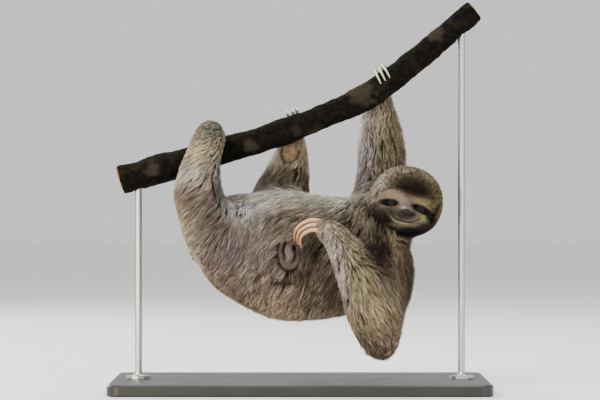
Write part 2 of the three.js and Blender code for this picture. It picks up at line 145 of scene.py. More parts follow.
def finerWhere(mesh, inside):  # halves the edges inside
    shape = bmesh.new()
    shape.from_mesh(mesh)
    chosen = [e for e in shape.edges if inside[e.verts[0].index] and inside[e.verts[1].index]]
    bmesh.ops.subdivide_edges(shape, edges=chosen, cuts=1, use_grid_fill=True)
    bmesh.ops.triangulate(shape, faces=[f for f in shape.faces if len(f.verts) > 4])
    return meshFrom(shape, "skin")


def pulled(items, key, width, kind=np.float32):  # a row of numbers from each item
    found = np.empty(len(items) * width, kind)
    items.foreach_get(key, found)
    return found.reshape(-1, width)


def places(mesh):
    return pulled(mesh.vertices, "co", 3).astype(float)


def normals(mesh):
    return pulled(mesh.vertex_normals, "vector", 3).astype(float)


def edgesOf(mesh):
    return pulled(mesh.edges, "vertices", 2, np.int32)


def setPlaces(mesh, found):
    mesh.vertices.foreach_set("co", np.ascontiguousarray(found, np.float32).ravel())
    mesh.update()


attributeKeys = {"FLOAT": "value", "INT": "value", "FLOAT_VECTOR": "vector", "FLOAT_COLOR": "color"}


def store(mesh, name, kind, values):
    layer = mesh.attributes.get(name) or mesh.attributes.new(name, kind, "POINT")
    values = np.ascontiguousarray(values, np.int32 if kind == "INT" else np.float32)
    layer.data.foreach_set(attributeKeys[kind], values.ravel())


def stored(mesh, name, width=1):
    layer = mesh.attributes[name]
    kind = np.int32 if layer.data_type == "INT" else np.float32
    found = pulled(layer.data, attributeKeys[layer.data_type], width, kind)
    return found if width > 1 else found.ravel()


def relax(values, edges, rounds, share=0.5):  # each value drawn towards the mean of its neighbours
    flat = values.reshape(len(values), -1).astype(float)
    degree = np.maximum(np.bincount(edges.ravel(), minlength=len(flat)), 1)[:, None]
    for _ in range(rounds):
        total = np.empty_like(flat)
        for c in range(flat.shape[1]):
            total[:, c] = np.bincount(edges[:, 0], flat[edges[:, 1], c], len(flat))
            total[:, c] += np.bincount(edges[:, 1], flat[edges[:, 0], c], len(flat))
        flat += share * (total / degree - flat)
    return flat.reshape(values.shape)


def unit(vectors):
    return vectors / np.maximum(np.linalg.norm(vectors, axis=-1, keepdims=True), 1e-9)


def flattened(vectors, out):  # laid along the surface whose normals are out
    return unit(vectors - np.sum(vectors * out, axis=1, keepdims=True) * out)


def step(low, high, x):  # a smooth step from 0 to 1
    t = np.clip((x - low) / (high - low), 0, 1)
    return t * t * (3 - 2 * t)


def bell(x):  # 1 at 0, falling off on both sides
    return np.exp(-(x ** 2))


def oval(p, at, size, tiltDeg=0):  # in X and Z: 0 in the middle of an oval, 1 at its edge
    tilt = math.radians(tiltDeg)
    dx, dz = p[:, 0] - at[0], p[:, 2] - at[1]
    along, up = dx * math.cos(tilt) + dz * math.sin(tilt), dz * math.cos(tilt) - dx * math.sin(tilt)
    return np.hypot(along / size[0], up / size[1])


def blend(one, two, share):  # one where the share is 0, two where it is 1
    return one * (1 - share) + two * share


def softNoise(points, scale):  # the scale in millimetres
    return np.array([noise.noise(Vector(p) / (scale * mm)) for p in points])


def treeOf(points):
    tree = KDTree(len(points))
    for i, p in enumerate(points):
        tree.insert(p, i)
    tree.balance()
    return tree


def nearestIn(tree, points):
    return np.array([tree.find(p)[1] for p in points])


# camera, light and floor
view = {"distance": 4.0, "height": 0.266, "lens": 171.43, "sensor": 36, "farthest": 60}
cameraData = bpy.data.cameras.new("camera")
cameraData.lens = view["lens"]
cameraData.sensor_width = view["sensor"]
cameraData.clip_end = view["farthest"]
camera = linked("camera", cameraData)
camera.location = (0, -view["distance"], view["height"])
camera.rotation_euler = (math.radians(90), 0, 0)
bpy.context.scene.camera = camera

lamps = {  # softboxes, aimed at the animal's middle
    "key": {"at": (-1.5, -2.3, 2.3), "size": 1.3, "power": 112, "color": "#fff8ee"},
    "fill": {"at": (2.4, -2.6, 1.0), "size": 2.0, "power": 36, "color": "#eef3ff"},
    "low": {"at": (-0.9, -1.3, 0.14), "size": 0.5, "power": 10, "color": "#fff0dc"},
    "top": {"at": (0.2, 0.6, 2.6), "size": 1.6, "power": 62, "color": "#ffffff"},
    "rim": {"at": (-1.8, 2.2, 1.4), "size": 1.4, "power": 60, "color": "#f2f6ff"},
}
for lampName, lamp in lamps.items():
    light = bpy.data.lights.new(lampName, "AREA")
    light.shape = "DISK"
    light.size = lamp["size"]
    light.energy = lamp["power"]
    light.color = linearColor(lamp["color"])
    holder = linked(lampName, light)
    holder.location = lamp["at"]
    aim = Vector((0, 0, 0.25)) - holder.location
    holder.rotation_euler = aim.to_track_quat("-Z", "Y").to_euler()

studio = {  # the floor's half width in metres, its clouds in millimetres
    "air": "#eeefee", "airStrength": 1.0, "floor": "#f3f3f0", "floorHalf": 14, "floorUneven": 0.03, "cloud": 35000,
}
world = bpy.data.worlds.new("studio")
world.use_nodes = True
background = world.node_tree.nodes["Background"]
background.inputs["Color"].default_value = rgba(studio["air"])
background.inputs["Strength"].default_value = studio["airStrength"]
bpy.context.scene.world = world

floorShape = bmesh.new()
bmesh.ops.create_grid(floorShape, x_segments=2, y_segments=2, size=studio["floorHalf"])
floor = linked("floor", meshFrom(floorShape, "floor"))
floorPaint, tree, shader = newMaterial("matt painted studio floor", Roughness=0.9)  # pale, without gloss
cloudScale = 2 * studio["floorHalf"] / (studio["cloud"] * mm)  # of the whole floor
cloud = addNode(tree, "ShaderNodeTexNoise", {"Scale": cloudScale, "Detail": 2.0})
uneven = {"To Min": 1 - studio["floorUneven"], "To Max": 1 + studio["floorUneven"]}
tone = addNode(tree, "ShaderNodeMapRange", uneven, Value=cloud.outputs["Fac"])
pale = {"operation": "SCALE", 0: linearColor(studio["floor"])}
feed(tree, shader, Base_Color=addNode(tree, "ShaderNodeVectorMath", pale, Scale=tone.outputs[0]).outputs[0])
floor.data.materials.append(floorPaint)
report("camera, light and floor")

# the head's own axes: X to its left side, Y out of its back, Z to its crown
headPlace = {"centre": (148, -36, 263), "rollDeg": 12, "yawDeg": 3, "faceMiddle": -3.4, "eyeApart": 40}
headFrame = (
    Matrix.Translation(Vector(headPlace["centre"]))
    @ Matrix.Rotation(math.radians(headPlace["yawDeg"]), 4, "Z")
    @ Matrix.Rotation(math.radians(headPlace["rollDeg"]), 4, "Y")
    @ Matrix.Translation((headPlace["faceMiddle"], 0, 0))
)
toHead = np.array(headFrame.inverted())
fromHead = np.array(headFrame)


def inHead(points):  # millimetres in the frame to millimetres in the head's axes
    return points @ toHead[:3, :3].T + toHead[:3, 3]


def outOfHead(points):
    return points @ fromHead[:3, :3].T + fromHead[:3, 3]


# the skin: copies of the flesh nodes, fused, and drawn in by the depth of the coat
coatDepth = {  # in millimetres, at each part of the body
    "trunk": 13, "neck": 12, "head": 7.5, "tail": 7,
    "arm_left_upper": 12, "arm_left_forearm": 10.5, "hand_left": 3.5,
    "arm_right_upper": 12, "arm_right_forearm": 10.5, "hand_right": 3.5,
    "leg_left_thigh": 12, "leg_left_shank": 10, "foot_left": 3.5,
    "leg_right_thigh": 12, "leg_right_shank": 9, "foot_right": 3.5,
}
skinMaking = {  # swell, voxels and the paws' fade in millimetres, the rest in rounds of evening
    "swell": 1.5, "voxel": 2.6, "fused": 2.98, "pawFade": 30,
    "body": 34, "depth": 14, "out": 6, "seams": 5, "fusedDepth": 6,
}
flesh = list(coatDepth)


def partsOf(*starts):  # flesh nodes by the starts of their names
    return [name for name in flesh if name.startswith(starts)]


nearArm = partsOf("arm_left", "hand_left")
limbAbove = {  # the paws, and where each one's coat changes into the limb's
    "hand_left": "arm_left_forearm", "hand_right": "arm_right_forearm",
    "foot_left": "leg_left_shank", "foot_right": "leg_right_shank",
}
otherFlesh = [name for name in flesh if name not in ("arm_left_forearm", "hand_left")]
fleshShape, owner = bmesh.new(), []
for number, name in enumerate(flesh):
    fleshShape.from_mesh(nodes[name].data)
    owner += [number] * (len(fleshShape.faces) - len(owner))
fleshSearch = BVHTree.FromBMesh(fleshShape)


def ownersOf(points):  # the number of the flesh node nearest each point
    return np.array([owner[fleshSearch.find_nearest(Vector(p))[2]] for p in points])


faceOval = {"at": (0, -10), "size": (41, 33)}  # in the head's axes, as the two below
bareCoat = {"depth": 1.8, "forward": (2, -16), "edge": (0.8, 1.08)}  # the face's own short coat
besideCoat = {"depth": 3.2, "forward": (22, -14), "edge": (0.95, 1.75)}  # up the crown and down the cheeks


def onFaceOval(points, coat):  # 1 within the face, 0 past the coat's edges
    p = inHead(points / mm)
    return step(*coat["forward"], p[:, 1]) * (1 - step(*coat["edge"], oval(p, **faceOval)))


sole = {"at": (-15, 20, 332), "reach": (16.5, 15, 12), "color": "#82684a", "thinner": 0.75, "mottle": 0.8}


def bareSole(points):  # 1 on the bare pad of the far foot
    return step(1.15, 0.85, np.linalg.norm((points / mm - sole["at"]) / sole["reach"], axis=1))


fold = {  # a ring of loose skin on the near flank: X and Z in millimetres, directions in degrees and their spread
    "at": (-15, 195), "radii": (13, 22), "radius": 16, "uneven": 0.17, "thinner": 0.65, "hairless": (1.2, 0.98),
    "thick": 3.2, "heaviest": -110, "rise": 5.5, "stripRise": 2.4, "groove": (0.7, 0.13), "grooveDepth": 7,
    "above": (60, 1.1), "below": (-100, 0.75), "left": (180, 0.8), "hangs": (70, 1.0), "underHair": 0.24,
    "creases": 1.3, "fanFrom": (-3, 209), "fanLines": 34, "ringLines": 53, "ringCreases": 0.45,
}
foldOvals = {  # its other places: X, Z and half sizes
    "hollow": [(-5, 201), (5, 9)], "crease": [(7.5, 190), (2, 17)], "recess": [(-18, 163), (12, 5)],
    "strip": [(9, 163), (5, 22)], "hairlessRecess": [(-18, 163), (15, 6.5)], "hairlessStrip": [(9, 163), (9, 20)],
}


def foldOval(points, at, size):  # as oval, but so large past the near flank that the fold isn't there
    return oval(points / mm, at, size) + 99 * (points[:, 1] / mm > -20)


def foldAway(points):  # how far out from its middle, 1 on the ring, and the direction
    p = (points / mm)[:, [0, 2]] - fold["at"]
    angle = np.arctan2(p[:, 1] / fold["radii"][1], p[:, 0] / fold["radii"][0])
    return foldOval(points, fold["at"], fold["radii"]), angle


def towards(angle, key):  # 1 in one of the fold's directions
    degrees, spread = fold[key]
    return bell((angle - math.radians(degrees)) / spread)


def foldForms(points):  # the ring, the groove inside it, which the skin's tint darkens as painted shade, and the fine creases, each from 0 to 1
    away, angle = foldAway(points)
    away = away + fold["uneven"] * softNoise(points, 13)
    thick = fold["thick"] * (1 + 0.5 * np.cos(angle - math.radians(fold["heaviest"])))
    ring = bell((away - 1) * fold["radius"] / thick)
    ring = ring * (1 - 0.95 * towards(angle, "above")) * (1 - 0.55 * towards(np.abs(angle), "left"))
    middle, wide = fold["groove"]
    groove = bell((away - middle) / wide) * (1 - 0.8 * towards(angle, "below")) * (1 - 0.7 * towards(angle, "above"))
    hollow, recess, crease = (bell(foldOval(points, *foldOvals[key])) for key in ("hollow", "recess", "crease"))
    p = points / mm
    fan = np.arctan2(p[:, 2] - fold["fanFrom"][1], p[:, 0] - fold["fanFrom"][0])
    lines = np.maximum(np.cos(fold["fanLines"] * fan + 1.5 * softNoise(points, 9)), 0) ** 1.5
    around = ring * (0.5 + 0.5 * np.cos(fold["ringLines"] * away))
    lines = lines * step(0.7, 0.5, away) + fold["ringCreases"] * around
    return ring, np.clip(np.max([groove, hollow, recess, 0.8 * crease], axis=0), 0, 1), lines


def shortInFold(points):  # 1 where the fold has no hair
    recess, strip = (step(1.2, 0.8, foldOval(points, *foldOvals[key])) for key in ("hairlessRecess", "hairlessStrip"))
    away, angle = foldAway(points)
    away = away + fold["underHair"] * towards(np.abs(angle), "left")  # hair covers its left arm
    return np.max([step(*fold["hairless"], away), recess, 0.6 * strip], axis=0)


def pawShare(points, label):  # 0 off the paws and where a paw meets its limb, 1 further along it
    share = np.zeros(len(points))
    for paw, limb in limbAbove.items():
        onPaw, onLimb = label == flesh.index(paw), label == flesh.index(limb)
        if onPaw.any() and onLimb.any():
            tree = treeOf(points[onLimb])
            away = np.array([tree.find(p)[2] for p in points[onPaw]])
            share[onPaw] = step(0, skinMaking["pawFade"] * mm, away)
    return share


depthOf = np.array([coatDepth[name] for name in flesh], float)
limbDepthOf = np.array([coatDepth[limbAbove.get(name, name)] for name in flesh], float)
drawnIn, labels, depths = [], [], []
for group in (otherFlesh, nearArm):
    shape = welded(*group)
    shape.normal_update()
    for v in shape.verts:
        v.co += v.normal * skinMaking["swell"] * mm
    mesh = remeshed(shape, "flesh", skinMaking["voxel"])
    edges = edgesOf(mesh)
    label = ownersOf(places(mesh))
    evened = relax(places(mesh), edges, skinMaking["body"])
    setPlaces(mesh, evened)
    depth = blend(limbDepthOf[label], depthOf[label], pawShare(evened, label))
    depth = depth - (coatDepth["head"] - besideCoat["depth"]) * onFaceOval(evened, besideCoat)
    depth = blend(depth, bareCoat["depth"], onFaceOval(evened, bareCoat))
    depth = depth * (1 - sole["thinner"] * bareSole(evened))
    depth = depth * (1 - fold["thinner"] * bell(foldAway(evened)[0] / 1.5))
    depth = relax(depth, edges, skinMaking["depth"])
    out = unit(relax(normals(mesh), edges, skinMaking["out"]))
    setPlaces(mesh, evened - out * depth[:, None] * mm)
    drawnIn.append(mesh)
    labels.append(label)
    depths.append(depth)
    report(f"skin group of {len(mesh.vertices)} points")

skinShape = bmesh.new()
for mesh in drawnIn:
    skinShape.from_mesh(mesh)
skinMesh = remeshed(skinShape, "skin", skinMaking["fused"])
nearest = nearestIn(treeOf(np.vstack([places(mesh) for mesh in drawnIn])), places(skinMesh))
skinEdges = edgesOf(skinMesh)
setPlaces(skinMesh, relax(places(skinMesh), skinEdges, skinMaking["seams"]))
store(skinMesh, "owner", "INT", np.concatenate(labels)[nearest])
store(skinMesh, "coatDepth", "FLOAT", relax(np.concatenate(depths)[nearest], skinEdges, skinMaking["fusedDepth"]))

# the fold's relief, on a mesh that grows finer towards it
for reach in (2.3, 1.8, 1.25):
    skinMesh = finerWhere(skinMesh, foldAway(places(skinMesh))[0] < reach)
spots = places(skinMesh)
store(skinMesh, "even", "FLOAT_VECTOR", spots)
store(skinMesh, "evenOut", "FLOAT_VECTOR", normals(skinMesh))
ring, groove, lines = foldForms(spots)
folded = fold["rise"] * ring + fold["stripRise"] * bell(foldOval(spots, *foldOvals["strip"]))
folded += fold["creases"] * lines - fold["grooveDepth"] * groove
setPlaces(skinMesh, spots + normals(skinMesh) * (folded * mm)[:, None])
report(f"skin fused, {len(skinMesh.vertices)} points")

# soft shapes of the face, in the head's axes: centre, radii, and how far each melts into the others
faceForms = {
    "disc": [(0, -15, -10), (38, 26.6, 31), 1],
    "browLeft": [(-18, -34.5, 4), (13, 8.5, 6.5), 7],
    "browRight": [(18, -34.5, 4), (13, 8.5, 6.5), 7],
    "cheekLeft": [(-23, -28, -21), (12, 12.5, 10.5), 8],
    "cheekRight": [(23, -28, -21), (12, 12.5, 10.5), 8],
    "muzzle": [(0, -34, -20), (16, 18.5, 12), 9],
    "chin": [(1, -33, -33), (15, 11.5, 6.5), 6],
    "bridge": [(-0.5, -42, -6), (6, 8.5, 10), 6],
    "nose": [(0, -50.5, -13.4), (8.8, 6.6, 5.9), 2.2],
    "lipLeft": [(-7.5, -46, -21.5), (9, 7, 5), 3.5],
    "lipRight": [(8.5, -46, -21.5), (9, 7, 5), 3.5],
    "lowerLip": [(1, -41, -29.5), (14, 8.5, 3.6), 3],
}
faceCuts = {  # shapes taken away, in the same way
    "socketLeft": [(-20.5, -50, -5.2), (11, 8.8, 4.8), 4],
    "socketRight": [(20, -50, -5.4), (11, 8.8, 4.8), 4],
}
faceDents = [  # pressed straight back: X and Z, half sizes, depth
    ((-4.8, -15.6), (2.1, 1.2), 2.4), ((4.6, -15.2), (2.1, 1.2), 2.4),  # nostrils
    ((0, -19.5), (0.7, 2.6), 0.9),  # the groove under the nose
]
smile = [(-17.5, -21.5), (-14, -25), (-9, -27.2), (0, -28), (8, -27.4), (15, -24.6), (20, -21.5)]
smileCut = {"wide": 1.2, "deep": 1.7}
eyePlaces = [np.array((side * headPlace["eyeApart"] / 2, -38, -5.5)) for side in (-1, 1)]
lids = {  # the half opening is wide and high, and the ring of skin reaches round the eye by an angle
    "radius": 6.4, "margin": 0.25, "wide": 4.9, "high": 1.9, "tiltDeg": 9, "drop": -0.4,
    "socket": 5.9, "under": 5.0, "reach": 1.45, "thinner": 0.3,
}
faceShaping = {  # where the head is drawn onto the forms, and where its mesh is finer; millimetres in the head's axes
    "oval": [(0, -11), (40, 33)], "edge": (0.86, 1.12), "forward": (-12, -24), "pull": 0.9, "rounds": (12, 6),
    "finer": {"back": -8, "wide": 40, "low": -44, "high": 21, "margins": (7, 4)}, "finest": [(0, -20), (26, 12)],
}


def ballDistance(p, centre, radii):
    offset = p - np.array(centre)
    near = np.linalg.norm(offset / radii, axis=1)
    slope = np.linalg.norm(offset / np.square(radii), axis=1)
    return near * (near - 1) / np.maximum(slope, 1e-6)


def melted(one, two, soft):
    share = np.maximum(soft - np.abs(one - two), 0) / soft
    return np.minimum(one, two) - share * share * soft / 4


def lineDistance(p, line):  # distance of each 2-D point from a line of 2-D points
    nearest = np.full(len(p), 1e3)
    for a, b in zip(np.array(line[:-1], float), np.array(line[1:], float)):
        t = np.clip((p - a) @ (b - a) / ((b - a) @ (b - a)), 0, 1)
        nearest = np.minimum(nearest, np.linalg.norm(p - a - t[:, None] * (b - a), axis=1))
    return nearest


def faceDistance(p):
    forms = list(faceForms.values())
    d = ballDistance(p, forms[0][0], forms[0][1])
    for centre, radii, soft in forms[1:]:
        d = melted(d, ballDistance(p, centre, radii), soft)
    for centre, radii, soft in faceCuts.values():
        d = -melted(-d, ballDistance(p, centre, radii), soft)
    for eye in eyePlaces:
        d = melted(d, np.linalg.norm(p - eye, axis=1) - lids["socket"], 3)
    return d


def faceSlope(p, reach=0.25):
    ways = reach * np.eye(3)
    return unit(np.stack([faceDistance(p + way) - faceDistance(p - way) for way in ways], axis=1))


def shapeFace(mesh, rounds):  # draws the front of the head onto the soft shapes, spreading its points evenly
    edges = edgesOf(mesh)
    local = inHead(places(mesh) / mm)
    for n in range(rounds):
        share = 1 - step(*faceShaping["edge"], oval(local, *faceShaping["oval"]))
        share = step(*faceShaping["forward"], local[:, 1]) * share
        moving = np.nonzero(share > 0.001)[0]
        if n < rounds - 2:
            local[moving] += (relax(local, edges, 1) - local)[moving] * share[moving][:, None]
        near = local[moving]
        d = np.clip(faceDistance(near), -3, 3)
        local[moving] = near - faceSlope(near) * (d * faceShaping["pull"] * share[moving])[:, None]
    setPlaces(mesh, outOfHead(local) * mm)
    return local


def onFront(h):  # 1 on the front of the face, 0 on its sides
    return step(-22, -30, h[:, 1])


def lidTilt(eye):
    return math.radians(math.copysign(lids["tiltDeg"], eye[0]))


def beyondLids(p, eye):  # how far outside the opening between the lids
    tilt = lidTilt(eye)
    dx, dz = p[:, 0] - eye[0], p[:, 2] - eye[2] - lids["drop"]
    along, up = dx * math.cos(tilt) - dz * math.sin(tilt), dx * math.sin(tilt) + dz * math.cos(tilt)
    half = lids["high"] * np.clip(1 - (along / lids["wide"]) ** 2, 0, 1)
    return np.hypot(np.maximum(np.abs(up) - half, 0), np.maximum(np.abs(along) - lids["wide"], 0))


def lidShape(eye, steps=48, spans=7):  # a closed ring of skin over the eyeball, around the opening
    found = []
    tilt = lidTilt(eye)
    high, under = lids["high"], lids["under"]
    for k in range(steps):
        turn = 2 * math.pi * k / steps
        c, s = abs(math.cos(turn)) / lids["wide"], abs(math.sin(turn))
        a = high * c * c
        reach = high / s if a < 1e-9 else (-s + math.sqrt(s * s + 4 * a * high)) / (2 * a)
        start = math.asin(reach / lids["radius"])
        profile = []
        for n in range(spans):
            t = n / (spans - 1)
            bulge = lids["margin"] * math.exp(-((t / 0.2) ** 2))
            profile.append((start + (lids["reach"] - start) * t, lids["radius"] - lids["thinner"] * t + bulge))
        profile += [(lids["reach"], under), (start, under)]
        for angle, radius in profile:
            along, up = radius * math.sin(angle) * math.cos(turn), radius * math.sin(angle) * math.sin(turn)
            x, z = along * math.cos(tilt) + up * math.sin(tilt), up * math.cos(tilt) - along * math.sin(tilt)
            ahead = math.cos(angle)
            found.append((eye[0] + x, eye[1] - radius * ahead, eye[2] + z + lids["drop"] * ahead))
    size = spans + 2
    quads = []
    for k in range(steps):
        here, beyond = k * size, (k + 1) % steps * size
        for n in range(size):
            after = (n + 1) % size
            quads.append((here + n, beyond + n, beyond + after, here + after))
    mesh = bpy.data.meshes.new("lid")
    mesh.from_pydata([tuple(v) for v in outOfHead(np.array(found)) * mm], [], quads)
    return mesh


finer = faceShaping["finer"]
for margin in finer["margins"]:
    x, y, z = inHead(places(skinMesh) / mm).T
    inside = (y < finer["back"] + margin) & (np.abs(x) < finer["wide"] + margin)
    skinMesh = finerWhere(skinMesh, inside & (z > finer["low"] - margin) & (z < finer["high"] + margin))
local = shapeFace(skinMesh, faceShaping["rounds"][0])
noseAndMouth = (oval(local, *faceShaping["finest"]) < 1) & (local[:, 1] < -22)
skinMesh = finerWhere(skinMesh, noseAndMouth)
local = shapeFace(skinMesh, faceShaping["rounds"][1])
front = onFront(local)
for at, size, deep in faceDents:
    local[:, 1] += deep * bell(oval(local, at, size)) * front
local[:, 1] += smileCut["deep"] * bell(lineDistance(local[:, [0, 2]], smile) / smileCut["wide"]) * front
for eye in eyePlaces:  # within the lids the skin lies behind the eye
    inside = (np.hypot(local[:, 0] - eye[0], local[:, 2] - eye[2]) < lids["under"]) & (local[:, 1] < eye[1])
    local[inside] = eye + unit(local[inside] - eye) * lids["under"]
setPlaces(skinMesh, outOfHead(local) * mm)
withLids = bmesh.new()
withLids.from_mesh(skinMesh)
bare = len(withLids.verts)
for eye in eyePlaces:
    withLids.from_mesh(lidShape(eye))
skinMesh = meshFrom(withLids, "skin")
label = stored(skinMesh, "owner")
label[bare:] = -1  # no hair grows on the lids
store(skinMesh, "owner", "INT", label)
skinEdges = edgesOf(skinMesh)
report(f"face shaped, {len(skinMesh.vertices)} points")

# markings, shared by the skin and the coat
baseCoat = "#7e6d5d"
bodyPatches = [  # in millimetres: X, Y, Z, reach along each, color, share
    (-118, -40, 362, 30, 60, 15, "#686b60", 0.95),  # ankle
    (-136, -60, 330, 20, 60, 17, "#c9c19b", 0.9),
    (-148, -60, 298, 28, 60, 16, "#d0cabc", 0.9),
    (-128, -60, 318, 8, 60, 24, "#5f564c", 0.7),
    (-140, -60, 252, 38, 70, 34, "#463c36", 0.9),  # near thigh
    # this patch, the pale rump and the pale lowest edge of the back below are partly painted rim light, light from
    # behind glowing on the coat's edge
    (-176, -20, 232, 12, 80, 36, "#a88358", 0.7),
    (-162, 0, 190, 20, 95, 56, "#e8d7b6", 0.9),  # rump, pale, partly painted rim light
    # painted shade in the crease along the near thigh's edge
    (-108, -60, 264, 12, 60, 46, "#15100c", 0.88),
    (-112, -60, 212, 18, 60, 22, "#231b16", 0.8),
    (-118, -20, 124, 44, 70, 26, "#c4ab88", 0.75),
    (-20, -10, 98, 100, 80, 17, "#dcc0a0", 0.9),  # lowest part of the back, pale, partly painted rim light
    (-56, -70, 118, 32, 50, 11, "#e0c4a4", 0.8),
    (-92, -75, 190, 36, 45, 34, "#807071", 0.85),  # flank
    (-30, -75, 196, 44, 45, 34, "#71655f", 0.85),
    (14, -75, 148, 56, 45, 28, "#55443a", 0.88),
    (42, -75, 138, 10, 45, 30, "#45372e", 0.8),
    (-78, -70, 229, 13, 40, 9, "#6a6057", 0.7),
    (-70, -40, 251, 30, 50, 15, "#dddddb", 0.95),  # belly
    (-86, -50, 270, 14, 60, 10, "#77715f", 0.6),
    (-30, 0, 276, 60, 60, 13, "#b2b2af", 0.9),
    (34, -20, 264, 46, 60, 14, "#a4a797", 0.85),
    (54, -40, 263, 13, 60, 8, "#cfcfc2", 0.8),
    (-36, -60, 243, 42, 40, 11, "#4f463a", 0.8),
    (-15, -62, 193, 22, 30, 28, "#5d5049", 0.9),  # the fold
    (9, -62, 163, 9, 25, 24, "#544337", 0.85),
    # painted shade on the flank beside the forearm's edge, in the recess under the fold and in its hollow
    (22, -72, 192, 11, 30, 21, "#120d0a", 0.92),
    (-16, -74, 166, 14, 36, 9, "#0a0705", 0.96),
    (0, -62, 190, 5, 30, 15, "#2c231e", 0.8),
    (-35, -70, 206, 7, 30, 9, "#8d7d70", 0.6),
    (9, -66, 205, 5, 30, 9, "#7d6d62", 0.6),
    # painted shade beside the forearm's edge
    (14, -70, 202, 12, 30, 14, "#1e1712", 0.85),
    (0, -70, 143, 20, 30, 10, "#85705f", 0.45),
    (-45, -75, 151, 22, 40, 13, "#8f796b", 0.6),
    (66, -40, 232, 40, 50, 24, "#62584b", 0.7),
    (90, -60, 240, 14, 40, 12, "#857b66", 0.7),
    (138, -60, 196, 22, 60, 26, "#56452f", 0.85),  # shoulder
    (150, -60, 150, 16, 60, 50, "#352a18", 0.85),
    # painted shade in the crevice between the wrist and the chest
    (64, -100, 230, 11, 40, 10, "#463e31", 0.75),
    (44, -100, 258, 16, 30, 9, "#b5ab93", 0.8),
    (36, -118, 224, 20, 22, 18, "#a79a83", 0.85),  # wrist
    (41, -118, 198, 12, 20, 18, "#b7aaa4", 0.9),
    (54, -118, 168, 10, 20, 22, "#b0a29e", 0.9),
    (56, -118, 144, 9, 22, 15, "#d0c4c0", 0.85),
    (70, -118, 212, 8, 22, 13, "#6f6352", 0.7),
    (56, -118, 223, 9, 22, 13, "#867965", 0.7),
    (70, -120, 128, 10, 24, 28, "#8f817d", 0.8),
    (82, -100, 80, 12, 40, 24, "#5c4f45", 0.75),
    (84, -126, 162, 17, 20, 42, "#a89b74", 0.85),
    (104, -96, 104, 28, 40, 30, "#b3a078", 0.8),
    (93, -104, 190, 8, 26, 22, "#3f3527", 0.75),
    (112, -80, 64, 24, 50, 14, "#7f6f5a", 0.8),  # elbow
    (88, 60, 350, 17, 60, 80, "#d0cdce", 0.95),  # far arm
    (128, 60, 350, 20, 60, 70, "#7f7152", 0.8),
    (111, 60, 372, 14, 60, 26, "#bdb095", 0.8),
    (100, 90, 280, 30, 50, 30, "#6a5d50", 0.6),
    (-38, 40, 328, 9, 50, 14, "#cfcac4", 0.85),  # far leg
    (6, 30, 338, 20, 50, 22, "#b3a17e", 0.85),
    (-8, 45, 320, 22, 50, 9, "#d2c098", 0.9),
    (-22, 60, 284, 26, 60, 17, "#443b24", 0.85),
    (-6, 60, 300, 20, 60, 12, "#463d28", 0.7),
    (10, 60, 290, 10, 50, 50, "#52463a", 0.6),
    (112, -20, 232, 30, 50, 24, "#231d14", 0.93),  # neck, its dark coat partly painted shade under the chin
    # painted shade under the chin and on the chest beside the forearm
    (122, -62, 226, 13, 60, 22, "#0f0c08", 0.97),
    (113, -62, 200, 12, 60, 15, "#15100c", 0.85),
    (150, -66, 214, 12, 40, 13, "#241d14", 0.8),
    (134, -66, 212, 14, 36, 9, "#9c8a68", 0.85),
    (107, -80, 181, 18, 40, 27, "#0c0906", 0.93),  # painted shade on the chest behind the forearm
    (135, -66, 190, 7, 30, 11, "#8d7c62", 0.6),
    # painted shade behind the forearm, lower down
    (123, -78, 160, 8, 30, 14, "#1a140f", 0.85),
]
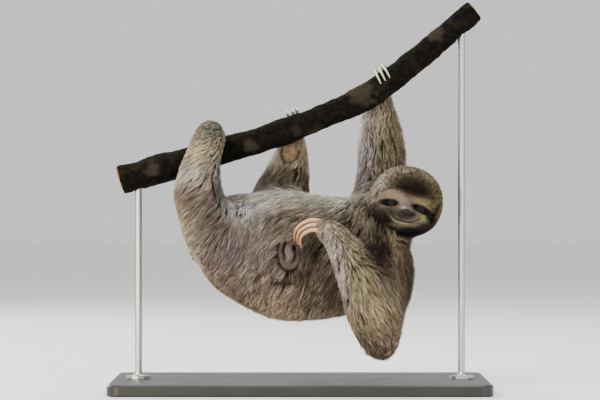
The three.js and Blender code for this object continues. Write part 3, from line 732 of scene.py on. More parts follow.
headPatches = [  # in the head's axes, from its front: X, Z, half sizes, tilt in degrees, color, share, edge
    (0, 40, 60, 32, 0, "#6a5f45", 1, 0.5),  # crown
    (-22, 32, 18, 12, 40, "#8d8170", 0.7, 0.7),
    (-46, 14, 15, 34, 14, "#ab9b8b", 0.9, 0.5),
    (46, 8, 15, 34, -10, "#5d5124", 0.9, 0.5),
    (0, -8, 38, 24, 0, "#7a6f62", 0.9, 0.3),  # face
    (-22, 5, 16, 7, 14, "#9a8370", 1, 0.55),  # left brow
    (16, 3.4, 12, 5, -2, "#97855f", 0.9, 0.4),  # right brow
    (32, 2, 9, 7, -20, "#887a4c", 0.85, 0.5),
    (4, 23, 32, 15, -5, "#392d22", 0.95, 0.5),  # forehead
    (9, 20, 21, 9, -4, "#1d1610", 0.85, 0.7),
    (-9.5, 1, 5, 6, 0, "#a5947d", 0.85, 0.7),  # bridge
    (1, -4, 6, 8, 0, "#7f766e", 0.8, 0.5),
    (-24, -20, 13, 8, 20, "#40382f", 0.88, 0.55),  # cheeks
    (-31, -31, 14, 10, -30, "#241d16", 0.9, 0.55),
    (-20, -29.5, 14, 3.2, -40, "#1c1611", 0.8, 0.65),
    (-15, -36.5, 9, 5, -35, "#1a1510", 0.85, 0.6),
    (27, -17.5, 6.5, 5, -20, "#94875a", 0.85, 0.6),
    (-1, -19, 13, 7, 4, "#2e261f", 0.9, 0.5),  # upper lip, dark, partly painted shade under the muzzle
    # dark beside the nose: the nostril, and painted shade
    (9.5, -15.5, 6, 4, 0, "#221b15", 0.8, 0.6),
    # a painted highlight on the top of the nose
    (-4, -8.6, 3, 2.4, 0, "#b3a797", 0.7, 0.7),
    (6, -32, 22, 4, 8, "#7f7259", 0.85, 0.5),  # chin
    (19, -40, 28, 8.5, 10, "#0d0a07", 1, 0.45),  # throat, near-black, partly painted shade under the chin
    (-44, -27, 14, 15, 0, "#352c21", 0.85, 0.6),
    # painted shade under the chin on the right
    (41, -30, 11, 15, -30, "#1d1710", 0.9, 0.6),
    (28, -30, 8, 5, 35, "#221b13", 0.8, 0.6),
    (-23, -6, 13, 5.2, 7, "#0d0906", 1, 0.25),  # eye stripes
    (-36, -11, 8, 4, 42, "#2f281d", 0.6, 0.6),
    (21.5, -6.3, 14.5, 5.4, -12, "#0c0806", 1, 0.25),
    (37, -13, 10, 6.5, -35, "#120d09", 0.95, 0.45),
    (44, -4, 2.4, 13, -16, "#1d160f", 0.95, 0.5),
    (-40, 4, 1.8, 7, -8, "#3a3026", 0.8, 0.6),
]
patchFall = 0.8  # how fast a body patch thins out from its middle
# where the head's patches lie
headBall = {"at": (3, 4, 2), "radii": (56, 56, 52), "edge": (1.32, 1.12), "forward": (14, -12)}
# the smile: a dark line painted as shade in the mouth's crease, and below it a paler band, the lower lip's edge,
# partly painted highlight
smilePaint = {"pale": "#9c8e74", "dark": "#0e0906", "wide": 1.1, "apart": 1.1, "paleShare": 0.4, "darkShare": 0.85}
nosePad = {"at": (0.5, -14), "size": (6.8, 4.4), "color": "#1c1410"}
lidPaint = {"rim": "#1d150f", "ring": "#060403", "wide": 0.4, "reach": 3.4}


def naked(points):  # 1 on the nose pad, the lips' edges and the lids, where no hair grows
    h = inHead(points / mm)
    shares = [1 - step(0.82, 1.0, oval(h, nosePad["at"], nosePad["size"]))]
    shares.append(bell(lineDistance(h[:, [0, 2]], smile) / smilePaint["wide"]))
    shares += [1 - step(0.6, 1.3, beyondLids(h, eye)) for eye in eyePlaces]
    return step(-30, -36, h[:, 1]) * np.max(shares, axis=0)


def painted(colors, hexColor, share):
    return blend(colors, np.array(linearColor(hexColor)), share[:, None])


def markings(points):  # linear color of the coat at points in metres
    p = points / mm
    color = np.tile(linearColor(baseCoat), (len(p), 1))
    for *patch, paint, share in bodyPatches:
        away = np.sum(((p - patch[:3]) / patch[3:]) ** 2, axis=1)
        color = painted(color, paint, share * np.exp(-away * patchFall))
    h = inHead(p)
    onHead = step(*headBall["edge"], np.linalg.norm((h - headBall["at"]) / headBall["radii"], axis=1))
    headColor = color.copy()
    front = step(*headBall["forward"], h[:, 1])
    for *patch, tiltDeg, paint, share, edge in headPatches:
        away = oval(h, patch[:2], patch[2:], tiltDeg)
        headColor = painted(headColor, paint, share * step(1 + edge, 1 - edge, away) * front)
    onFace = onFront(h)
    # the mouth's painted shade line, then the lip's paler band, partly painted highlight
    for key, rise in (("dark", 0), ("pale", -2 * smilePaint["apart"])):
        away = lineDistance(h[:, [0, 2]], [(x, z + rise) for x, z in smile])
        share = smilePaint[key + "Share"] * bell(away / smilePaint["wide"]) * onFace
        headColor = painted(headColor, smilePaint[key], share)
    onNose = step(1.1, 0.85, oval(h, nosePad["at"], nosePad["size"]))
    headColor = painted(headColor, nosePad["color"], onNose * onFace)
    for eye in eyePlaces:
        outside = beyondLids(h, eye)
        for key, low, high in (("ring", lidPaint["wide"], lidPaint["reach"]), ("rim", 0.2, lidPaint["wide"] * 2)):
            headColor = painted(headColor, lidPaint[key], (1 - step(low, high, outside)) * onFace)
    return blend(color, headColor, onHead[:, None])


# the lie of the coat
lie = {  # which way the hair runs on each part
    "tail": (-0.7, 0, -0.6), "neck": (0.1, 0, -1), "arm_left_upper": (0.0, -0.1, -1),
    "arm_left_forearm": (0.37, 0.26, -0.9), "hand_left": (-1, -0.05, -0.2), "arm_right_upper": (-0.1, 0.2, -1),
    "arm_right_forearm": (0.0, 0.3, -0.95), "hand_right": (0, 0.1, -1), "leg_left_thigh": (-0.35, 0, -0.94),
    "leg_left_shank": (-0.68, 0, -0.74), "foot_left": (-0.84, 0, -0.54), "leg_right_thigh": (-0.5, 0.2, -0.8),
    "leg_right_shank": (-0.45, 0.2, -0.85), "foot_right": (-0.2, 0.1, -1),
}
noseTip = (0, -60, -9)  # the head's hair runs away from here
lieTurns = {  # the trunk's middle and half sizes, its hair's fall towards the rump in degrees, and other turns
    "middle": 190, "high": 70, "deep": 25, "fall": 60, "fallAbove": 35, "fallBelow": 10, "outAbove": 0.45,
    "outBelow": 0.6, "knuckles": (44, 28), "besideCheeks": (14, 44), "belowCrown": (40, 0), "down": 1.1, "swirl": 0.8,
}


def lieAt(points, label):
    p = points / mm
    flow = np.zeros_like(p)
    for name, direction in lie.items():
        flow[label == flesh.index(name)] = direction
    onHand = label == flesh.index("hand_left")
    knuckles = step(*lieTurns["knuckles"], p[:, 0])[:, None]
    flow[onHand] = blend(np.array(lie["arm_left_forearm"]), np.array(lie["hand_left"]), knuckles)[onHand]
    up = np.clip((p[:, 2] - lieTurns["middle"]) / lieTurns["high"], -1, 1)
    side = np.clip(p[:, 1] / lieTurns["deep"], -1, 1)
    fall = np.radians(lieTurns["fall"] - np.where(up > 0, lieTurns["fallAbove"], lieTurns["fallBelow"]) * up)
    sideways = side * (np.where(up > 0, lieTurns["outAbove"], lieTurns["outBelow"]) * up)
    trunk = np.stack([-np.cos(fall), sideways, -np.sin(fall)], axis=1)
    away, angle = foldAway(points)
    fromFold = np.stack([np.cos(angle), np.zeros(len(p)), np.sin(angle)], axis=1)
    swirl = bell(away / 1.5) * (1 - towards(angle, "hangs")) * lieTurns["swirl"]  # hair from above hangs over its top
    onTrunk = label == flesh.index("trunk")
    flow[onTrunk] = blend(trunk, fromFold, swirl[:, None])[onTrunk]
    h = inHead(p)
    down = lieTurns["down"] * step(*lieTurns["besideCheeks"], np.abs(h[:, 0])) * step(*lieTurns["belowCrown"], h[:, 2])
    onHead = label == flesh.index("head")
    flow[onHead] = (unit(h - noseTip) @ fromHead[:3, :3].T + down[:, None] * np.array((0, 0, -1)))[onHead]
    return unit(flow)


skinPlaces = places(skinMesh)
skinNormals = normals(skinMesh)
overFold = foldAway(skinPlaces)[0] < 2.2  # the hair passes over the fold, not into it
skinPlaces[overFold] = stored(skinMesh, "even", 3)[overFold]
skinNormals[overFold] = unit(stored(skinMesh, "evenOut", 3))[overFold]
label = stored(skinMesh, "owner")
flow = flattened(relax(lieAt(skinPlaces, label), skinEdges, 14), skinNormals)
store(skinMesh, "lie", "FLOAT_VECTOR", flow)
onSole, inFold = bareSole(skinPlaces), shortInFold(skinPlaces)
shownSkin = np.max([onFaceOval(skinPlaces, bareCoat), onSole, 0.9 * inFold], axis=0)
rootShade = blend(0.38, 1, shownSkin)  # under long hair the skin shows only as shade
mottle = 1 + sole["mottle"] * onSole * softNoise(skinPlaces, 2.4) + 0.2 * inFold * softNoise(skinPlaces, 1.8)
ring, groove, lines = foldForms(skinPlaces)
# painted shade: the fold's groove, hollow, recess and crease darkened; its crease lines paler and its ring a little
# darker
mottle = (mottle + 0.4 * lines - 0.3 * ring) * (1 - 0.95 * groove)
skinTone = painted(markings(skinPlaces), sole["color"], onSole) * (rootShade * mottle)[:, None]
store(skinMesh, "Tint", "FLOAT_COLOR", np.hstack([skinTone, np.ones((len(label), 1))]))
store(skinMesh, "pawShare", "FLOAT", relax(pawShare(skinPlaces, label), skinEdges, 6))
store(skinMesh, "naked", "FLOAT", np.maximum(naked(skinPlaces), 0.15 * onSole))
report("markings and lie of the coat")

# fur: locks of thin closed blades
furColumns = [  # sizes in millimetres; dense is for the number of blades; rootTone darkens each blade's root, partly as painted shade deep in the coat
    "length", "width", "lock", "gather", "loose", "rise", "dense", "contrast", "uneven", "rootTone", "tipTone",
]
furKinds = {
    "body": (38, 0.92, 5.2, 0.36, 0.22, 1.02, 1, 1, 1, 0.5, 1.2),
    "limb": (27, 0.86, 4.2, 0.2, 0.2, 1.05, 1.1, 0.6, 1, 0.5, 1.2),
    "paw": (8, 0.6, 3, 0.12, 0.03, 1.1, 2.4, 0.6, 1, 0.5, 1.2),
    "head": (13, 0.62, 3, 0.3, 0.1, 1.0, 1, 1, 1, 0.5, 1.2),
    "face": (3.6, 0.42, 1.6, 0.15, 0.05, 0.7, 1, 0.35, 0.5, 0.85, 1.05),
}
furKinds = {kind: dict(zip(furColumns, numbers)) for kind, numbers in furKinds.items()}
besideFace = {"length": 5.5, "gather": 0.6, "rootTone": 0.85}  # what the head's hair nears beside the face
hairVaries = {  # from one lock or blade to the next; turn is a slow swing of the lie and turnSize its millimetres
    "length": (0.8, 1.15), "share": (0.7, 1.12), "height": (0.7, 1.05), "width": (0.7, 1.2),
    "turn": 0.55, "turnSize": 28, "turnDraw": 0.13, "swing": 0.07,
}
hairLift = [  # where the coat stands further out: X, Y, Z, reach, lift, in millimetres
    (12, 42, 342, 22, 7), (-30, 42, 330, 14, 2), (112, 40, 388, 32, 5),
]
hairSpots = [  # where hair hangs more freely, and is longer by a share: X, Y, Z, reach, looser, longer
    (108, -84, 60, 26, 0.15, 0.2),  # elbow
    (112, -84, 52, 13, 0.25, 0.3),
    (26, -104, 232, 14, 0.05, 1.7),  # knuckles
    (-6, -76, 202, 28, -0.2, -0.65),  # fold
    (48, -108, 196, 26, -0.1, -0.55),  # wrist
    (36, -104, 210, 16, -0.1, -0.5),
    (58, -100, 160, 22, -0.1, -0.35),
    (92, -100, 200, 24, -0.2, -0.5),
    (8, -74, 172, 18, -0.2, -0.5),  # strip beside the fold
    (-16, -74, 170, 13, -0.1, -0.4),
    (-14, 24, 338, 26, 0, -0.6),  # round the far sole
]
kindOf = {name: "paw" if name.startswith(("hand", "foot")) else "limb" for name in flesh}
kindOf.update(trunk="body", head="head")
coatPieces = {  # nodes whose skin each piece covers, its blades, and the trunk's cuts along X in millimetres
    "coat_rump": {"nodes": ["trunk", "tail"], "x": (-999, -62), "blades": 15500},
    "coat_flank": {"nodes": ["trunk"], "x": (-62, 12), "blades": 16000},
    "coat_chest": {"nodes": ["trunk", "neck"], "x": (12, 999), "blades": 16000},
    "coat_arm_left": {"nodes": nearArm, "blades": 16000},
    "coat_arm_right": {"nodes": partsOf("arm_right", "hand_right"), "blades": 12000},
    "coat_leg_left": {"nodes": partsOf("leg_left", "foot_left"), "blades": 14000},
    "coat_leg_right": {"nodes": partsOf("leg_right", "foot_right"), "blades": 10000},
    "coat_head": {"nodes": ["head"], "blades": 24000, "bare": False},
    "coat_face": {"nodes": ["head"], "blades": 22000, "bare": True},
}
bladeForm = {  # its thickness and the width left at its tip, and its patch of the bake map
    "thick": 0.8, "tip": 0.8, "patch": 0.003, "patchWide": 0.4,
    "rise": {2: (-0.02, 0.85, 0.95), 3: (-0.02, 0.6, 1.0, 0.94)},  # share of the coat's depth, root to tip
}
skinTree = treeOf(skinPlaces)


def walk(start, direction, lengths, steps, follow=0.35):  # paths along the skin, following its lie
    path = np.empty((len(start), steps + 1, 3))
    outward = np.empty_like(path)
    here, heading = start.copy(), direction.copy()
    for n in range(steps + 1):
        index = nearestIn(skinTree, here)
        out = skinNormals[index]
        here = here - out * np.sum((here - skinPlaces[index]) * out, axis=1, keepdims=True)
        path[:, n] = here
        outward[:, n] = out
        heading = flattened(flow[index] * follow + heading * (1 - follow), out)
        here = here + heading * (lengths / steps)[:, None]
    return path, outward


def bladeMesh(name, path, outward, width, colors, rootUv):  # closed three-sided blades, pointed at both ends
    count, last = len(path), path.shape[1] - 1
    along = unit(np.gradient(path, axis=1))[:, 1:last]
    side = unit(np.cross(along, outward[:, 1:last]))
    lift = unit(np.cross(side, along))
    half = 0.5 * width[:, None, None] * np.linspace(1, bladeForm["tip"], last - 1)[None, :, None]
    ring = path[:, 1:last, None] + np.stack([side * half, lift * half * bladeForm["thick"], -side * half], axis=2)
    points = np.concatenate([path[:, :1], ring.reshape(count, -1, 3), path[:, -1:]], axis=1)
    size = points.shape[1]
    faces = []
    for k in range(3):
        a, b = 1 + k, 1 + (k + 1) % 3
        faces.append((0, b, a))
        for _ in range(last - 2):
            faces += [(a, b, b + 3), (a, b + 3, a + 3)]
            a, b = a + 3, b + 3
        faces.append((a, b, size - 1))
    corners = (np.arange(count)[:, None, None] * size + np.array(faces)[None, :, ::-1]).reshape(-1, 3)
    mesh = bpy.data.meshes.new(name)
    mesh.vertices.add(count * size)
    mesh.vertices.foreach_set("co", points.astype(np.float32).ravel())
    mesh.loops.add(corners.size)
    mesh.loops.foreach_set("vertex_index", corners.astype(np.int32).ravel())
    mesh.polygons.add(len(corners))
    mesh.polygons.foreach_set("loop_start", np.arange(0, corners.size, 3, dtype=np.int32))
    mesh.update(calc_edges=True)
    share = np.concatenate([[0], np.repeat(np.arange(1, last), 3), [last]]) / last
    sides = np.array([-1, 0, 1]) * bladeForm["patchWide"]
    across = np.concatenate([[0], np.tile(sides, last - 1), [0]])
    spread = np.stack([across, share - 0.5], axis=1) * bladeForm["patch"]
    uv = np.clip(rootUv[:, None] + spread[None], 0, 1).reshape(-1, 2)
    layer = mesh.uv_layers.new(name="OFBake")
    layer.data.foreach_set("uv", uv[corners.ravel()].astype(np.float32).ravel())
    tint = np.ones((count, size, 4))
    tint[:, :, :3] = np.clip(colors(share), 0, 1)
    store(mesh, "Tint", "FLOAT_COLOR", tint.reshape(-1, 4))
    return mesh


def regionSkin(spec):  # the part of the skin under one coat piece, unwrapped on its own shape
    shape = bmesh.new()
    shape.from_mesh(skinMesh)
    centres = np.array([f.calc_center_median()[:] for f in shape.faces])
    wanted = np.isin(label[[f.verts[0].index for f in shape.faces]], [flesh.index(n) for n in spec["nodes"]])
    if "x" in spec:
        wanted &= (centres[:, 0] / mm >= spec["x"][0]) & (centres[:, 0] / mm < spec["x"][1])
    if "bare" in spec:
        wanted &= (onFaceOval(centres, bareCoat) > 0.5) == spec["bare"]
    shape.faces.ensure_lookup_table()
    bmesh.ops.delete(shape, geom=[f for f, keep in zip(shape.faces, wanted) if not keep], context="FACES")
    bmesh.ops.triangulate(shape, faces=shape.faces)
    mesh = meshFrom(shape, "region")
    holder = linked("region", mesh)
    bpy.context.view_layer.objects.active = holder
    holder.select_set(True)
    bpy.ops.object.mode_set(mode="EDIT")
    bpy.ops.mesh.select_all(action="SELECT")
    bpy.ops.uv.smart_project(angle_limit=math.radians(66), island_margin=0.004)
    bpy.ops.object.mode_set(mode="OBJECT")
    region = {
        "places": places(mesh), "normals": normals(mesh), "triangles": pulled(mesh.polygons, "vertices", 3, np.int32),
        "uv": pulled(mesh.uv_layers.active.data, "uv", 2).reshape(-1, 3, 2), "depth": stored(mesh, "coatDepth"),
        "lie": stored(mesh, "lie", 3), "owner": stored(mesh, "owner"), "pawShare": stored(mesh, "pawShare"),
    }
    bpy.data.objects.remove(holder)
    a, b, c = (region["places"][region["triangles"][:, k]] for k in range(3))
    region["areas"] = np.linalg.norm(np.cross(b - a, c - a), axis=1) / 2
    return region


def scatter(region, count, weight):  # random roots on a region's triangles
    area = region["areas"] * weight
    chosen = rng.choice(len(area), count, p=area / area.sum())
    r = np.sqrt(rng.random(count))
    s = rng.random(count)
    bary = np.stack([1 - r, r * (1 - s), r * s], axis=1)
    corner = region["triangles"][chosen]

    def at(values):
        return np.einsum("nk,nk...->n...", bary, values[corner])

    return {
        "place": at(region["places"]), "normal": unit(at(region["normals"])), "depth": at(region["depth"]),
        "lie": unit(at(region["lie"])), "uv": np.einsum("nk,nkd->nd", bary, region["uv"][chosen]),
        "owner": region["owner"][corner[:, 0]], "pawShare": at(region["pawShare"]),
    }


def closeTo(points, middle, reach):
    return bell(np.linalg.norm(points / mm - middle, axis=1) / reach)


hairHue = {  # some locks are paler and some darker, and so are some single blades
    "cream": "#c9bd9c", "creamShare": 0.6, "ownShare": 0.8,
    "paleLocks": 0.24, "paleBlades": 0.06, "paleShare": 0.42, "paleFrom": (0.03, 0.12),
    "dark": "#453a30", "darkLocks": 0.17, "darkBlades": 0.07, "darkShare": 0.55,
    "keepLock": 0.75, "lockTone": 0.13, "bladeTone": 0.26, "middleTone": 0.96,
}


def hairColors(shown, follows, locks, look):  # the markings where a blade shows, uneven by locks and blades
    base = markings(shown)
    lockDraw = rng.random(locks)[follows]
    bladeDraw = rng.random(len(shown))
    keep, contrast = hairHue["keepLock"], look["contrast"]
    tone = rng.normal(0, hairHue["lockTone"], locks)[follows] + rng.normal(0, hairHue["bladeTone"], len(shown))
    pale = (lockDraw < hairHue["paleLocks"]) & (bladeDraw < keep) | (bladeDraw < hairHue["paleBlades"])
    dark = (lockDraw > 1 - hairHue["darkLocks"]) & (bladeDraw > 1 - keep) | (bladeDraw > 1 - hairHue["darkBlades"])
    bright = base.mean(axis=1, keepdims=True)
    paleShare = (pale * hairHue["paleShare"] * contrast)[:, None] * step(*hairHue["paleFrom"], bright)
    paler = np.array(linearColor(hairHue["cream"])) * hairHue["creamShare"] + bright * hairHue["ownShare"]
    base = blend(base, paler, paleShare)
    darker = np.minimum(base, np.array(linearColor(hairHue["dark"])))
    base = blend(base, darker, (dark * hairHue["darkShare"] * contrast)[:, None])
    return base * (1 + (np.exp(tone)[:, None] - 1) * look["uneven"])


def growCoat(name, spec):
    region = regionSkin(spec)
    blades = spec["blades"] // 1
    bare = spec.get("bare", False)
    pieceKind = "face" if bare else kindOf[spec["nodes"][0]]
    look = furKinds[pieceKind]

    def kindsOf(owners):
        return np.array(["face" if bare else kindOf[flesh[n]] for n in owners])

    middles = region["places"][region["triangles"]].mean(axis=1)
    density = np.array([furKinds[k]["dense"] for k in kindsOf(region["owner"][region["triangles"][:, 0]])])
    density = density * (1 - bareSole(middles)) * (1 - shortInFold(middles)) ** 2
    roots = scatter(region, blades, density * (1 - naked(middles)) ** 2 if bare else density)
    beside = onFaceOval(roots["place"], besideCoat) * (pieceKind == "head")
    rootKind = kindsOf(roots["owner"])

    def trait(key, which=slice(None)):  # of every root, or of those that lead
        kinds = rootKind[which]
        onLimb = np.array([furKinds["limb" if k == "paw" else k][key] for k in kinds], float)
        return blend(onLimb, np.array([furKinds[k][key] for k in kinds], float), roots["pawShare"][which])

    # locks: some roots lead, and the rest follow the nearest leader
    spacing = np.mean([furKinds[k]["lock"] for k in rootKind]) * mm
    leaders = rng.choice(blades, min(blades // 3, int(region["areas"].sum() / spacing ** 2)), replace=False)
    locks, start = len(leaders), roots["place"][leaders]
    follows = nearestIn(treeOf(start), roots["place"])
    length = trait("length", leaders) * rng.uniform(*hairVaries["length"], locks) * mm
    length = blend(length, besideFace["length"] * mm, beside[leaders])
    loose = trait("loose", leaders)
    for *at, reach, looser, longer in hairSpots:
        close = closeTo(start, at, reach)
        length = length * (1 + longer * close)
        loose = loose + looser * close
    turn = softNoise(start, hairVaries["turnSize"]) * hairVaries["turn"]
    turn = turn + rng.normal(0, hairVaries["turnDraw"], locks)
    heading = roots["lie"][leaders]
    heading = heading * np.cos(turn)[:, None] + np.cross(roots["normal"][leaders], heading) * np.sin(turn)[:, None]
    steps = 2 if pieceKind in ("head", "face") else 3
    s = np.linspace(0, 1, steps + 1)
    path, outward = walk(start, heading, length, steps)
    straight = path[:, :1] + heading[:, None] * (length[:, None] * s)[..., None]
    path = blend(path, straight, np.minimum(loose, 1)[:, None, None] * s[None, :, None] ** 1.5)

    # each blade takes its leader's path, and gathers towards it
    own = (path[follows] - path[follows][:, :1]) * rng.uniform(*hairVaries["share"], blades)[:, None, None]
    offset = roots["place"] - start[follows]
    gather = (trait("gather") * (1 - besideFace["gather"] * beside))[:, None] * s[None] ** 1.3
    swing = rng.normal(0, hairVaries["swing"], (blades, 1)) * np.linalg.norm(own[:, -1:], axis=2) * s[None] ** 1.6
    across = np.cross(outward[follows], heading[follows][:, None])
    blade = start[follows][:, None] + own + offset[:, None] * (1 - gather)[..., None] + across * swing[..., None]
    height = roots["depth"][:, None] * np.array(bladeForm["rise"][steps])
    height = height * trait("rise")[:, None] * rng.uniform(*hairVaries["height"], blades)[:, None]
    for *at, reach, lift in hairLift:
        height = height + lift * closeTo(roots["place"], at, reach)[:, None] * s[None]
    blade = blade + outward[follows] * (height * mm)[..., None]
    width = trait("width") * rng.uniform(*hairVaries["width"], blades) * mm
    base = hairColors(blade[:, -2], follows, locks, look)
    rootTone = blend(look["rootTone"], besideFace["rootTone"], beside)[:, None]
    middleTone = hairHue["middleTone"]

    def colors(along):  # root to tip: darker at the root, partly painted shade deep in the coat, and paler at the tip
        low = np.clip(along * 2, 0, 1)
        high = np.clip(along * 2 - 1, 0, 1)
        tones = blend(rootTone, middleTone, low) + (look["tipTone"] - middleTone) * high
        return base[:, None] * tones[..., None]

    mesh = bladeMesh(name, blade, outward[follows], width, colors, roots["uv"])
    addPiece(name, mesh, furMaterial)
    report(f"{name}: {blades} blades, {len(mesh.polygons)} triangles")


# dull strands with a faint silky edge light
furMaterial, tree, shader = newMaterial("coarse guard hair", Roughness=0.7, Specular_IOR_Level=0.12)
tint = addNode(tree, "ShaderNodeAttribute", {"attribute_name": "Tint"})
feed(tree, shader, Base_Color=tint.outputs["Color"])
for name, spec in coatPieces.items():
    growCoat(name, spec)

# the skin itself: a close nap, drawn coarser than real hair so that it shows, and damp on the nose and the lids
skinLook = {  # nap and napDepth in millimetres
    "nap": 1.111, "napDepth": 0.6, "napStrength": 0.5, "dryRough": 0.66, "dampRough": 0.46,
}
skinMaterial, tree, shader = newMaterial("short-haired hide", Specular_IOR_Level=0.22)
tint = addNode(tree, "ShaderNodeAttribute", {"attribute_name": "Tint"})
place = addNode(tree, "ShaderNodeTexCoord").outputs["Object"]
nap = addNode(tree, "ShaderNodeTexNoise", {"Scale": perMetre(skinLook["nap"]), "Detail": 3.0}, Vector=place)
relief = {"Strength": skinLook["napStrength"], "Distance": skinLook["napDepth"] * mm}
napBump = addNode(tree, "ShaderNodeBump", relief, Height=nap.outputs["Fac"])
damp = addNode(tree, "ShaderNodeAttribute", {"attribute_name": "naked"}).outputs["Fac"]
dryness = {"To Min": skinLook["dryRough"], "To Max": skinLook["dampRough"]}
rough = addNode(tree, "ShaderNodeMapRange", dryness, Value=damp)
feed(tree, shader, Base_Color=tint.outputs["Color"], Normal=napBump.outputs["Normal"], Roughness=rough.outputs[0])
for extra in ("owner", "coatDepth", "lie", "pawShare", "even", "evenOut"):
    skinMesh.attributes.remove(skinMesh.attributes[extra])
addPiece("skin", skinMesh, skinMaterial, replaces=flesh)

# eyes: near-black brown with a sharp wet highlight
eyeLook = {
    "rim": "#0c0806", "iris": "#0f0906", "pupil": "#030202",
    "irisDeg": 48, "pupilDeg": 17, "gaze": (-0.05, -1, -0.02),
}
eyeMaterial, tree, shader = newMaterial("wet dark cornea", Roughness=0.14, IOR=1.376, Specular_IOR_Level=0.3)
tint = addNode(tree, "ShaderNodeAttribute", {"attribute_name": "Tint"})
feed(tree, shader, Base_Color=tint.outputs["Color"])
gaze = Vector(eyeLook["gaze"]).normalized()
for name in ("eye_left", "eye_right"):
    low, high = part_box(name)
    ball = bmesh.new()
    bmesh.ops.create_uvsphere(ball, u_segments=64, v_segments=40, radius=(high.z - low.z) / 2)
    bmesh.ops.rotate(ball, verts=ball.verts, matrix=gaze.to_track_quat("Z", "Y").to_matrix())
    mesh = meshFrom(ball, name)
    angle = np.degrees(np.arccos(np.clip(unit(places(mesh)) @ np.array(gaze), -1, 1)))
    tint = np.tile(rgba(eyeLook["rim"]), (len(angle), 1))
    tint[angle < eyeLook["irisDeg"]] = rgba(eyeLook["iris"])
    tint[angle < eyeLook["pupilDeg"]] = rgba(eyeLook["pupil"])
    store(mesh, "Tint", "FLOAT_COLOR", tint)
    mesh.transform(Matrix.Translation((low + high) / 2))
    addPiece("shown_" + name, mesh, eyeMaterial, replaces=[name])

# claws: the hooks dull cream and darker at the root, those of the near hand smooth peach with a soft highlight
clawLook = {  # sizes in millimetres
    "hook": "#c9c3ab", "hookRoot": "#8c8468", "near": "#bc8758", "nearRoot": "#cda382",
    "streak": 2.381, "streakTones": (0.8, 1.15), "ridge": 0.4, "ridgeStrength": 0.25,
}


def clawFinish(name, tipColor, rootColor):
    material, tree, shader = newMaterial(
        name, Roughness=0.34, IOR=1.54, Subsurface_Weight=0.06, Subsurface_Radius=(0.003, 0.0016, 0.001))
    growth = addNode(tree, "ShaderNodeAttribute", {"attribute_name": "alongClaw"}).outputs["Fac"]
    ramp = addNode(tree, "ShaderNodeMix", {"data_type": "RGBA", 6: rgba(rootColor), 7: rgba(tipColor)}, _0=growth)
    place = addNode(tree, "ShaderNodeTexCoord").outputs["Object"]
    streak = addNode(tree, "ShaderNodeTexNoise", {"Scale": perMetre(clawLook["streak"]), "Detail": 3.0}, Vector=place)
    tones = dict(zip(("To Min", "To Max"), clawLook["streakTones"]))
    shade = addNode(tree, "ShaderNodeMapRange", tones, Value=streak.outputs["Fac"])
    both = addNode(tree, "ShaderNodeVectorMath", {"operation": "SCALE"}, _0=ramp.outputs[2], Scale=shade.outputs[0])
    relief = {"Strength": clawLook["ridgeStrength"], "Distance": clawLook["ridge"] * mm}
    bump = addNode(tree, "ShaderNodeBump", relief, Height=streak.outputs["Fac"])
    feed(tree, shader, Base_Color=both.outputs[0], Normal=bump.outputs["Normal"])
    return material


hookHorn = clawFinish("weathered ivory horn", clawLook["hook"], clawLook["hookRoot"])
nearHorn = clawFinish("translucent peach horn", clawLook["near"], clawLook["nearRoot"])
joining = {"angle_face_threshold": math.radians(50), "angle_shape_threshold": math.radians(80)}
for name in [n for n in nodes if n.startswith("claw")]:
    shape = welded(name)
    bmesh.ops.join_triangles(shape, faces=shape.faces, **joining)
    mesh = meshFrom(shape, name)
    low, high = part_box(name.replace("claw_", "").rsplit("_", 1)[0])
    reach = np.linalg.norm(places(mesh) - np.array((low + high) / 2), axis=1)
    store(mesh, "alongClaw", "FLOAT", (reach - reach.min()) / (reach.max() - reach.min()))
    finish = nearHorn if name.startswith("claw_hand_left") else hookHorn
    subdivide(addPiece("horn_" + name, mesh, finish, replaces=[name]), 2)
report("eyes and claws")

# the branch: dark, dull and damp, with lichen and moss, and year rings on the cut ends
barkLook = {  # sizes in millimetres
    "voxel": 3.0, "lump": 22, "lumps": 1.6, "grain": 3.6, "grains": 1.1, "stretch": (0.25, 1, 0.8), "sunk": 0.6,
    "radius": 20, "evening": 8,
    "ends": [((-253, 0, 293), (-0.964, 0, -0.267)), ((246, 0, 533), (0.753, 0, 0.658))],  # where, and which way out
    "lichen": [(88, 410, 22), (-6, 364, 11), (-70, 342, 14), (-205, 306, 14), (190, 498, 14)],  # X, Z, reach
    "dark": "#050403", "pale": "#19150f", "moss": "#14160a", "lichenColor": "#423a30",
    "wood": "#6b5238", "woodPale": "#a5845c", "yearRing": 0.06,  # a ring's width, as a share of the branch's radius
    "fibre": 6.25, "mossSize": 29.4, "lichenSize": 41.7, "relief": 1.2,
}
branchMesh = remeshed(welded("branch"), "branch", barkLook["voxel"])
spots = relax(places(branchMesh), edgesOf(branchMesh), barkLook["evening"])
setPlaces(branchMesh, spots)
out = normals(branchMesh)
lump = softNoise(spots, barkLook["lump"]) * barkLook["lumps"]
grain = softNoise(spots * np.array(barkLook["stretch"]), barkLook["grain"]) * barkLook["grains"]
setPlaces(branchMesh, spots + out * ((lump + grain - barkLook["sunk"]) * mm)[:, None])
cutFace, fromPith, crust = np.zeros((3, len(spots)))
for at, facingOut in barkLook["ends"]:
    offset = spots / mm - at
    beyond = offset @ np.array(facingOut)
    sideways = np.linalg.norm(offset - beyond[:, None] * np.array(facingOut), axis=1)
    onEnd = step(0.7, 0.95, out @ np.array(facingOut)) * step(-5, -2, beyond)
    cutFace = np.maximum(cutFace, onEnd)
    fromPith = np.where(onEnd > 0, sideways / barkLook["radius"], fromPith)
for x, z, reach in barkLook["lichen"]:
    away = np.hypot(spots[:, 0] / mm - x, spots[:, 2] / mm - z) / reach
    crust = np.maximum(crust, step(1.1, 0.5, away + 0.45 * softNoise(spots, 7)))
for key, values in (("cutFace", cutFace), ("fromPith", fromPith), ("crust", crust)):
    store(branchMesh, key, "FLOAT", values)

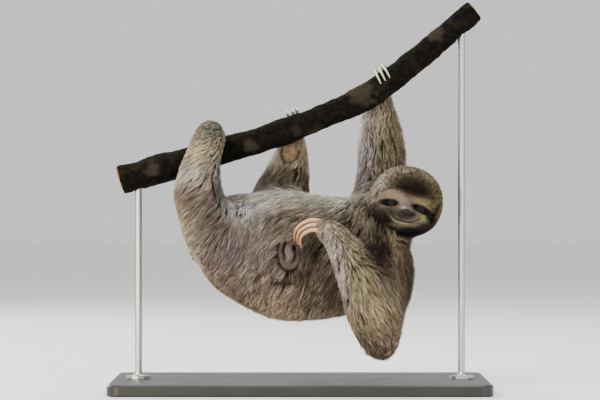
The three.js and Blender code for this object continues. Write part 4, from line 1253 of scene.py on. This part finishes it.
barkMaterial, tree, shader = newMaterial("damp rainforest bark", Roughness=0.85, Specular_IOR_Level=0.05)
place = addNode(tree, "ShaderNodeTexCoord").outputs["Object"]
fibres = {"Scale": perMetre(barkLook["fibre"]), "Detail": 6.0, "Roughness": 0.65}
fibres = addNode(tree, "ShaderNodeTexNoise", fibres, Vector=place).outputs["Fac"]
barkTone = addNode(tree, "ShaderNodeValToRGB", Fac=fibres)
for end, where, key in zip(barkTone.color_ramp.elements, (0.36, 0.72), ("dark", "pale")):
    end.position = where
    end.color = rgba(barkLook[key])
upward = addNode(tree, "ShaderNodeSeparateXYZ", Vector=addNode(tree, "ShaderNodeNewGeometry").outputs["Normal"])
tufts = addNode(tree, "ShaderNodeTexNoise", {"Scale": perMetre(barkLook["mossSize"]), "Detail": 5.0}, Vector=place)
mossPlace = addNode(
    tree, "ShaderNodeMath", {"operation": "MULTIPLY_ADD", 1: 0.5}, _0=upward.outputs["Z"], _2=tufts.outputs["Fac"])
mossShare = addNode(
    tree, "ShaderNodeMapRange", {"From Min": 0.72, "From Max": 0.98, "To Max": 0.8}, Value=mossPlace.outputs[0])
withMoss = addNode(
    tree, "ShaderNodeMix", {"data_type": "RGBA", 7: rgba(barkLook["moss"])},
    _0=mossShare.outputs[0], _6=barkTone.outputs["Color"])
spread = addNode(tree, "ShaderNodeTexNoise", {"Scale": perMetre(barkLook["lichenSize"]), "Detail": 3.0}, Vector=place)
crusted = addNode(tree, "ShaderNodeAttribute", {"attribute_name": "crust"})
lichenPlace = addNode(
    tree, "ShaderNodeMath", {"operation": "MULTIPLY_ADD", 1: 0.22},
    _0=crusted.outputs["Fac"], _2=spread.outputs["Fac"])
lichenShare = addNode(
    tree, "ShaderNodeMapRange", {"From Min": 0.58, "From Max": 0.78, "To Max": 0.42}, Value=lichenPlace.outputs[0])
withLichen = addNode(
    tree, "ShaderNodeMix", {"data_type": "RGBA", 7: rgba(barkLook["lichenColor"])},
    _0=lichenShare.outputs[0], _6=withMoss.outputs[2])
fromPith = addNode(tree, "ShaderNodeAttribute", {"attribute_name": "fromPith"}).outputs["Fac"]
wavy = addNode(tree, "ShaderNodeMath", {"operation": "MULTIPLY_ADD", 1: 0.2}, _0=fibres, _2=fromPith)
yearRing = addNode(tree, "ShaderNodeMath", {"operation": "PINGPONG", 1: barkLook["yearRing"]}, _0=wavy.outputs[0])
yearTone = addNode(tree, "ShaderNodeMapRange", {"From Max": barkLook["yearRing"]}, Value=yearRing.outputs[0])
wood = {"data_type": "RGBA", 6: rgba(barkLook["wood"]), 7: rgba(barkLook["woodPale"])}
wood = addNode(tree, "ShaderNodeMix", wood, _0=yearTone.outputs[0])
cutWood = addNode(tree, "ShaderNodeAttribute", {"attribute_name": "cutFace"}).outputs["Fac"]
allBark = addNode(
    tree, "ShaderNodeMix", {"data_type": "RGBA"}, _0=cutWood, _6=withLichen.outputs[2], _7=wood.outputs[2])
barkBump = addNode(tree, "ShaderNodeBump", {"Strength": 0.8, "Distance": barkLook["relief"] * mm}, Height=fibres)
feed(tree, shader, Base_Color=allBark.outputs[2], Normal=barkBump.outputs["Normal"])
subdivide(addPiece("bark_branch", branchMesh, barkMaterial, replaces=["branch"]), 1)
report("branch")

# the stand: smooth dark lacquer with soft reflections, and steel with streaks up the rod,
# which are drawn wider than real brush marks so that they show
standLook = {  # sizes in millimetres
    "lacquer": "#1b1a19", "lacquerWorn": "#2b2a28", "wipes": 71.4, "orangePeel": 3.85,
    "steel": "#a3a29e", "steelPale": "#c9c8c4", "streak": (0.7143, 83.3),  # its width and length
}
standMaterial, tree, shader = newMaterial("satin black lacquer")
place = addNode(tree, "ShaderNodeTexCoord").outputs["Object"]
wipes = {"Scale": perMetre(standLook["wipes"]), "Detail": 4.0}
wipes = addNode(tree, "ShaderNodeTexNoise", wipes, Vector=place).outputs["Fac"]
tones = {"data_type": "RGBA", 6: rgba(standLook["lacquer"]), 7: rgba(standLook["lacquerWorn"])}
tone = addNode(tree, "ShaderNodeMix", tones, _0=wipes)
rough = addNode(tree, "ShaderNodeMapRange", {"To Min": 0.28, "To Max": 0.46}, Value=wipes)
peel = addNode(tree, "ShaderNodeTexNoise", {"Scale": perMetre(standLook["orangePeel"]), "Detail": 2.0}, Vector=place)
bump = addNode(tree, "ShaderNodeBump", {"Strength": 0.06, "Distance": 0.3 * mm}, Height=peel.outputs["Fac"])
feed(tree, shader, Base_Color=tone.outputs[2], Roughness=rough.outputs[0], Normal=bump.outputs["Normal"])

steelMaterial, tree, shader = newMaterial("brushed stainless steel", Metallic=1.0)
place = addNode(tree, "ShaderNodeTexCoord").outputs["Object"]
wide, long = (perMetre(size) for size in standLook["streak"])
drawnOut = addNode(tree, "ShaderNodeMapping", {"Scale": (wide, wide, long)}, Vector=place).outputs["Vector"]
streak = addNode(tree, "ShaderNodeTexNoise", {"Scale": 1.0, "Detail": 3.0}, Vector=drawnOut).outputs["Fac"]
tones = {"data_type": "RGBA", 6: rgba(standLook["steel"]), 7: rgba(standLook["steelPale"])}
tone = addNode(tree, "ShaderNodeMix", tones, _0=streak)
rough = addNode(tree, "ShaderNodeMapRange", {"To Min": 0.24, "To Max": 0.42}, Value=streak)
feed(tree, shader, Base_Color=tone.outputs[2], Roughness=rough.outputs[0])
for name in ("stand_base", "stand_rod_left", "stand_rod_right"):
    nodes[name].data.materials.clear()
    nodes[name].data.materials.append(standMaterial if name == "stand_base" else steelMaterial)
report("stand")
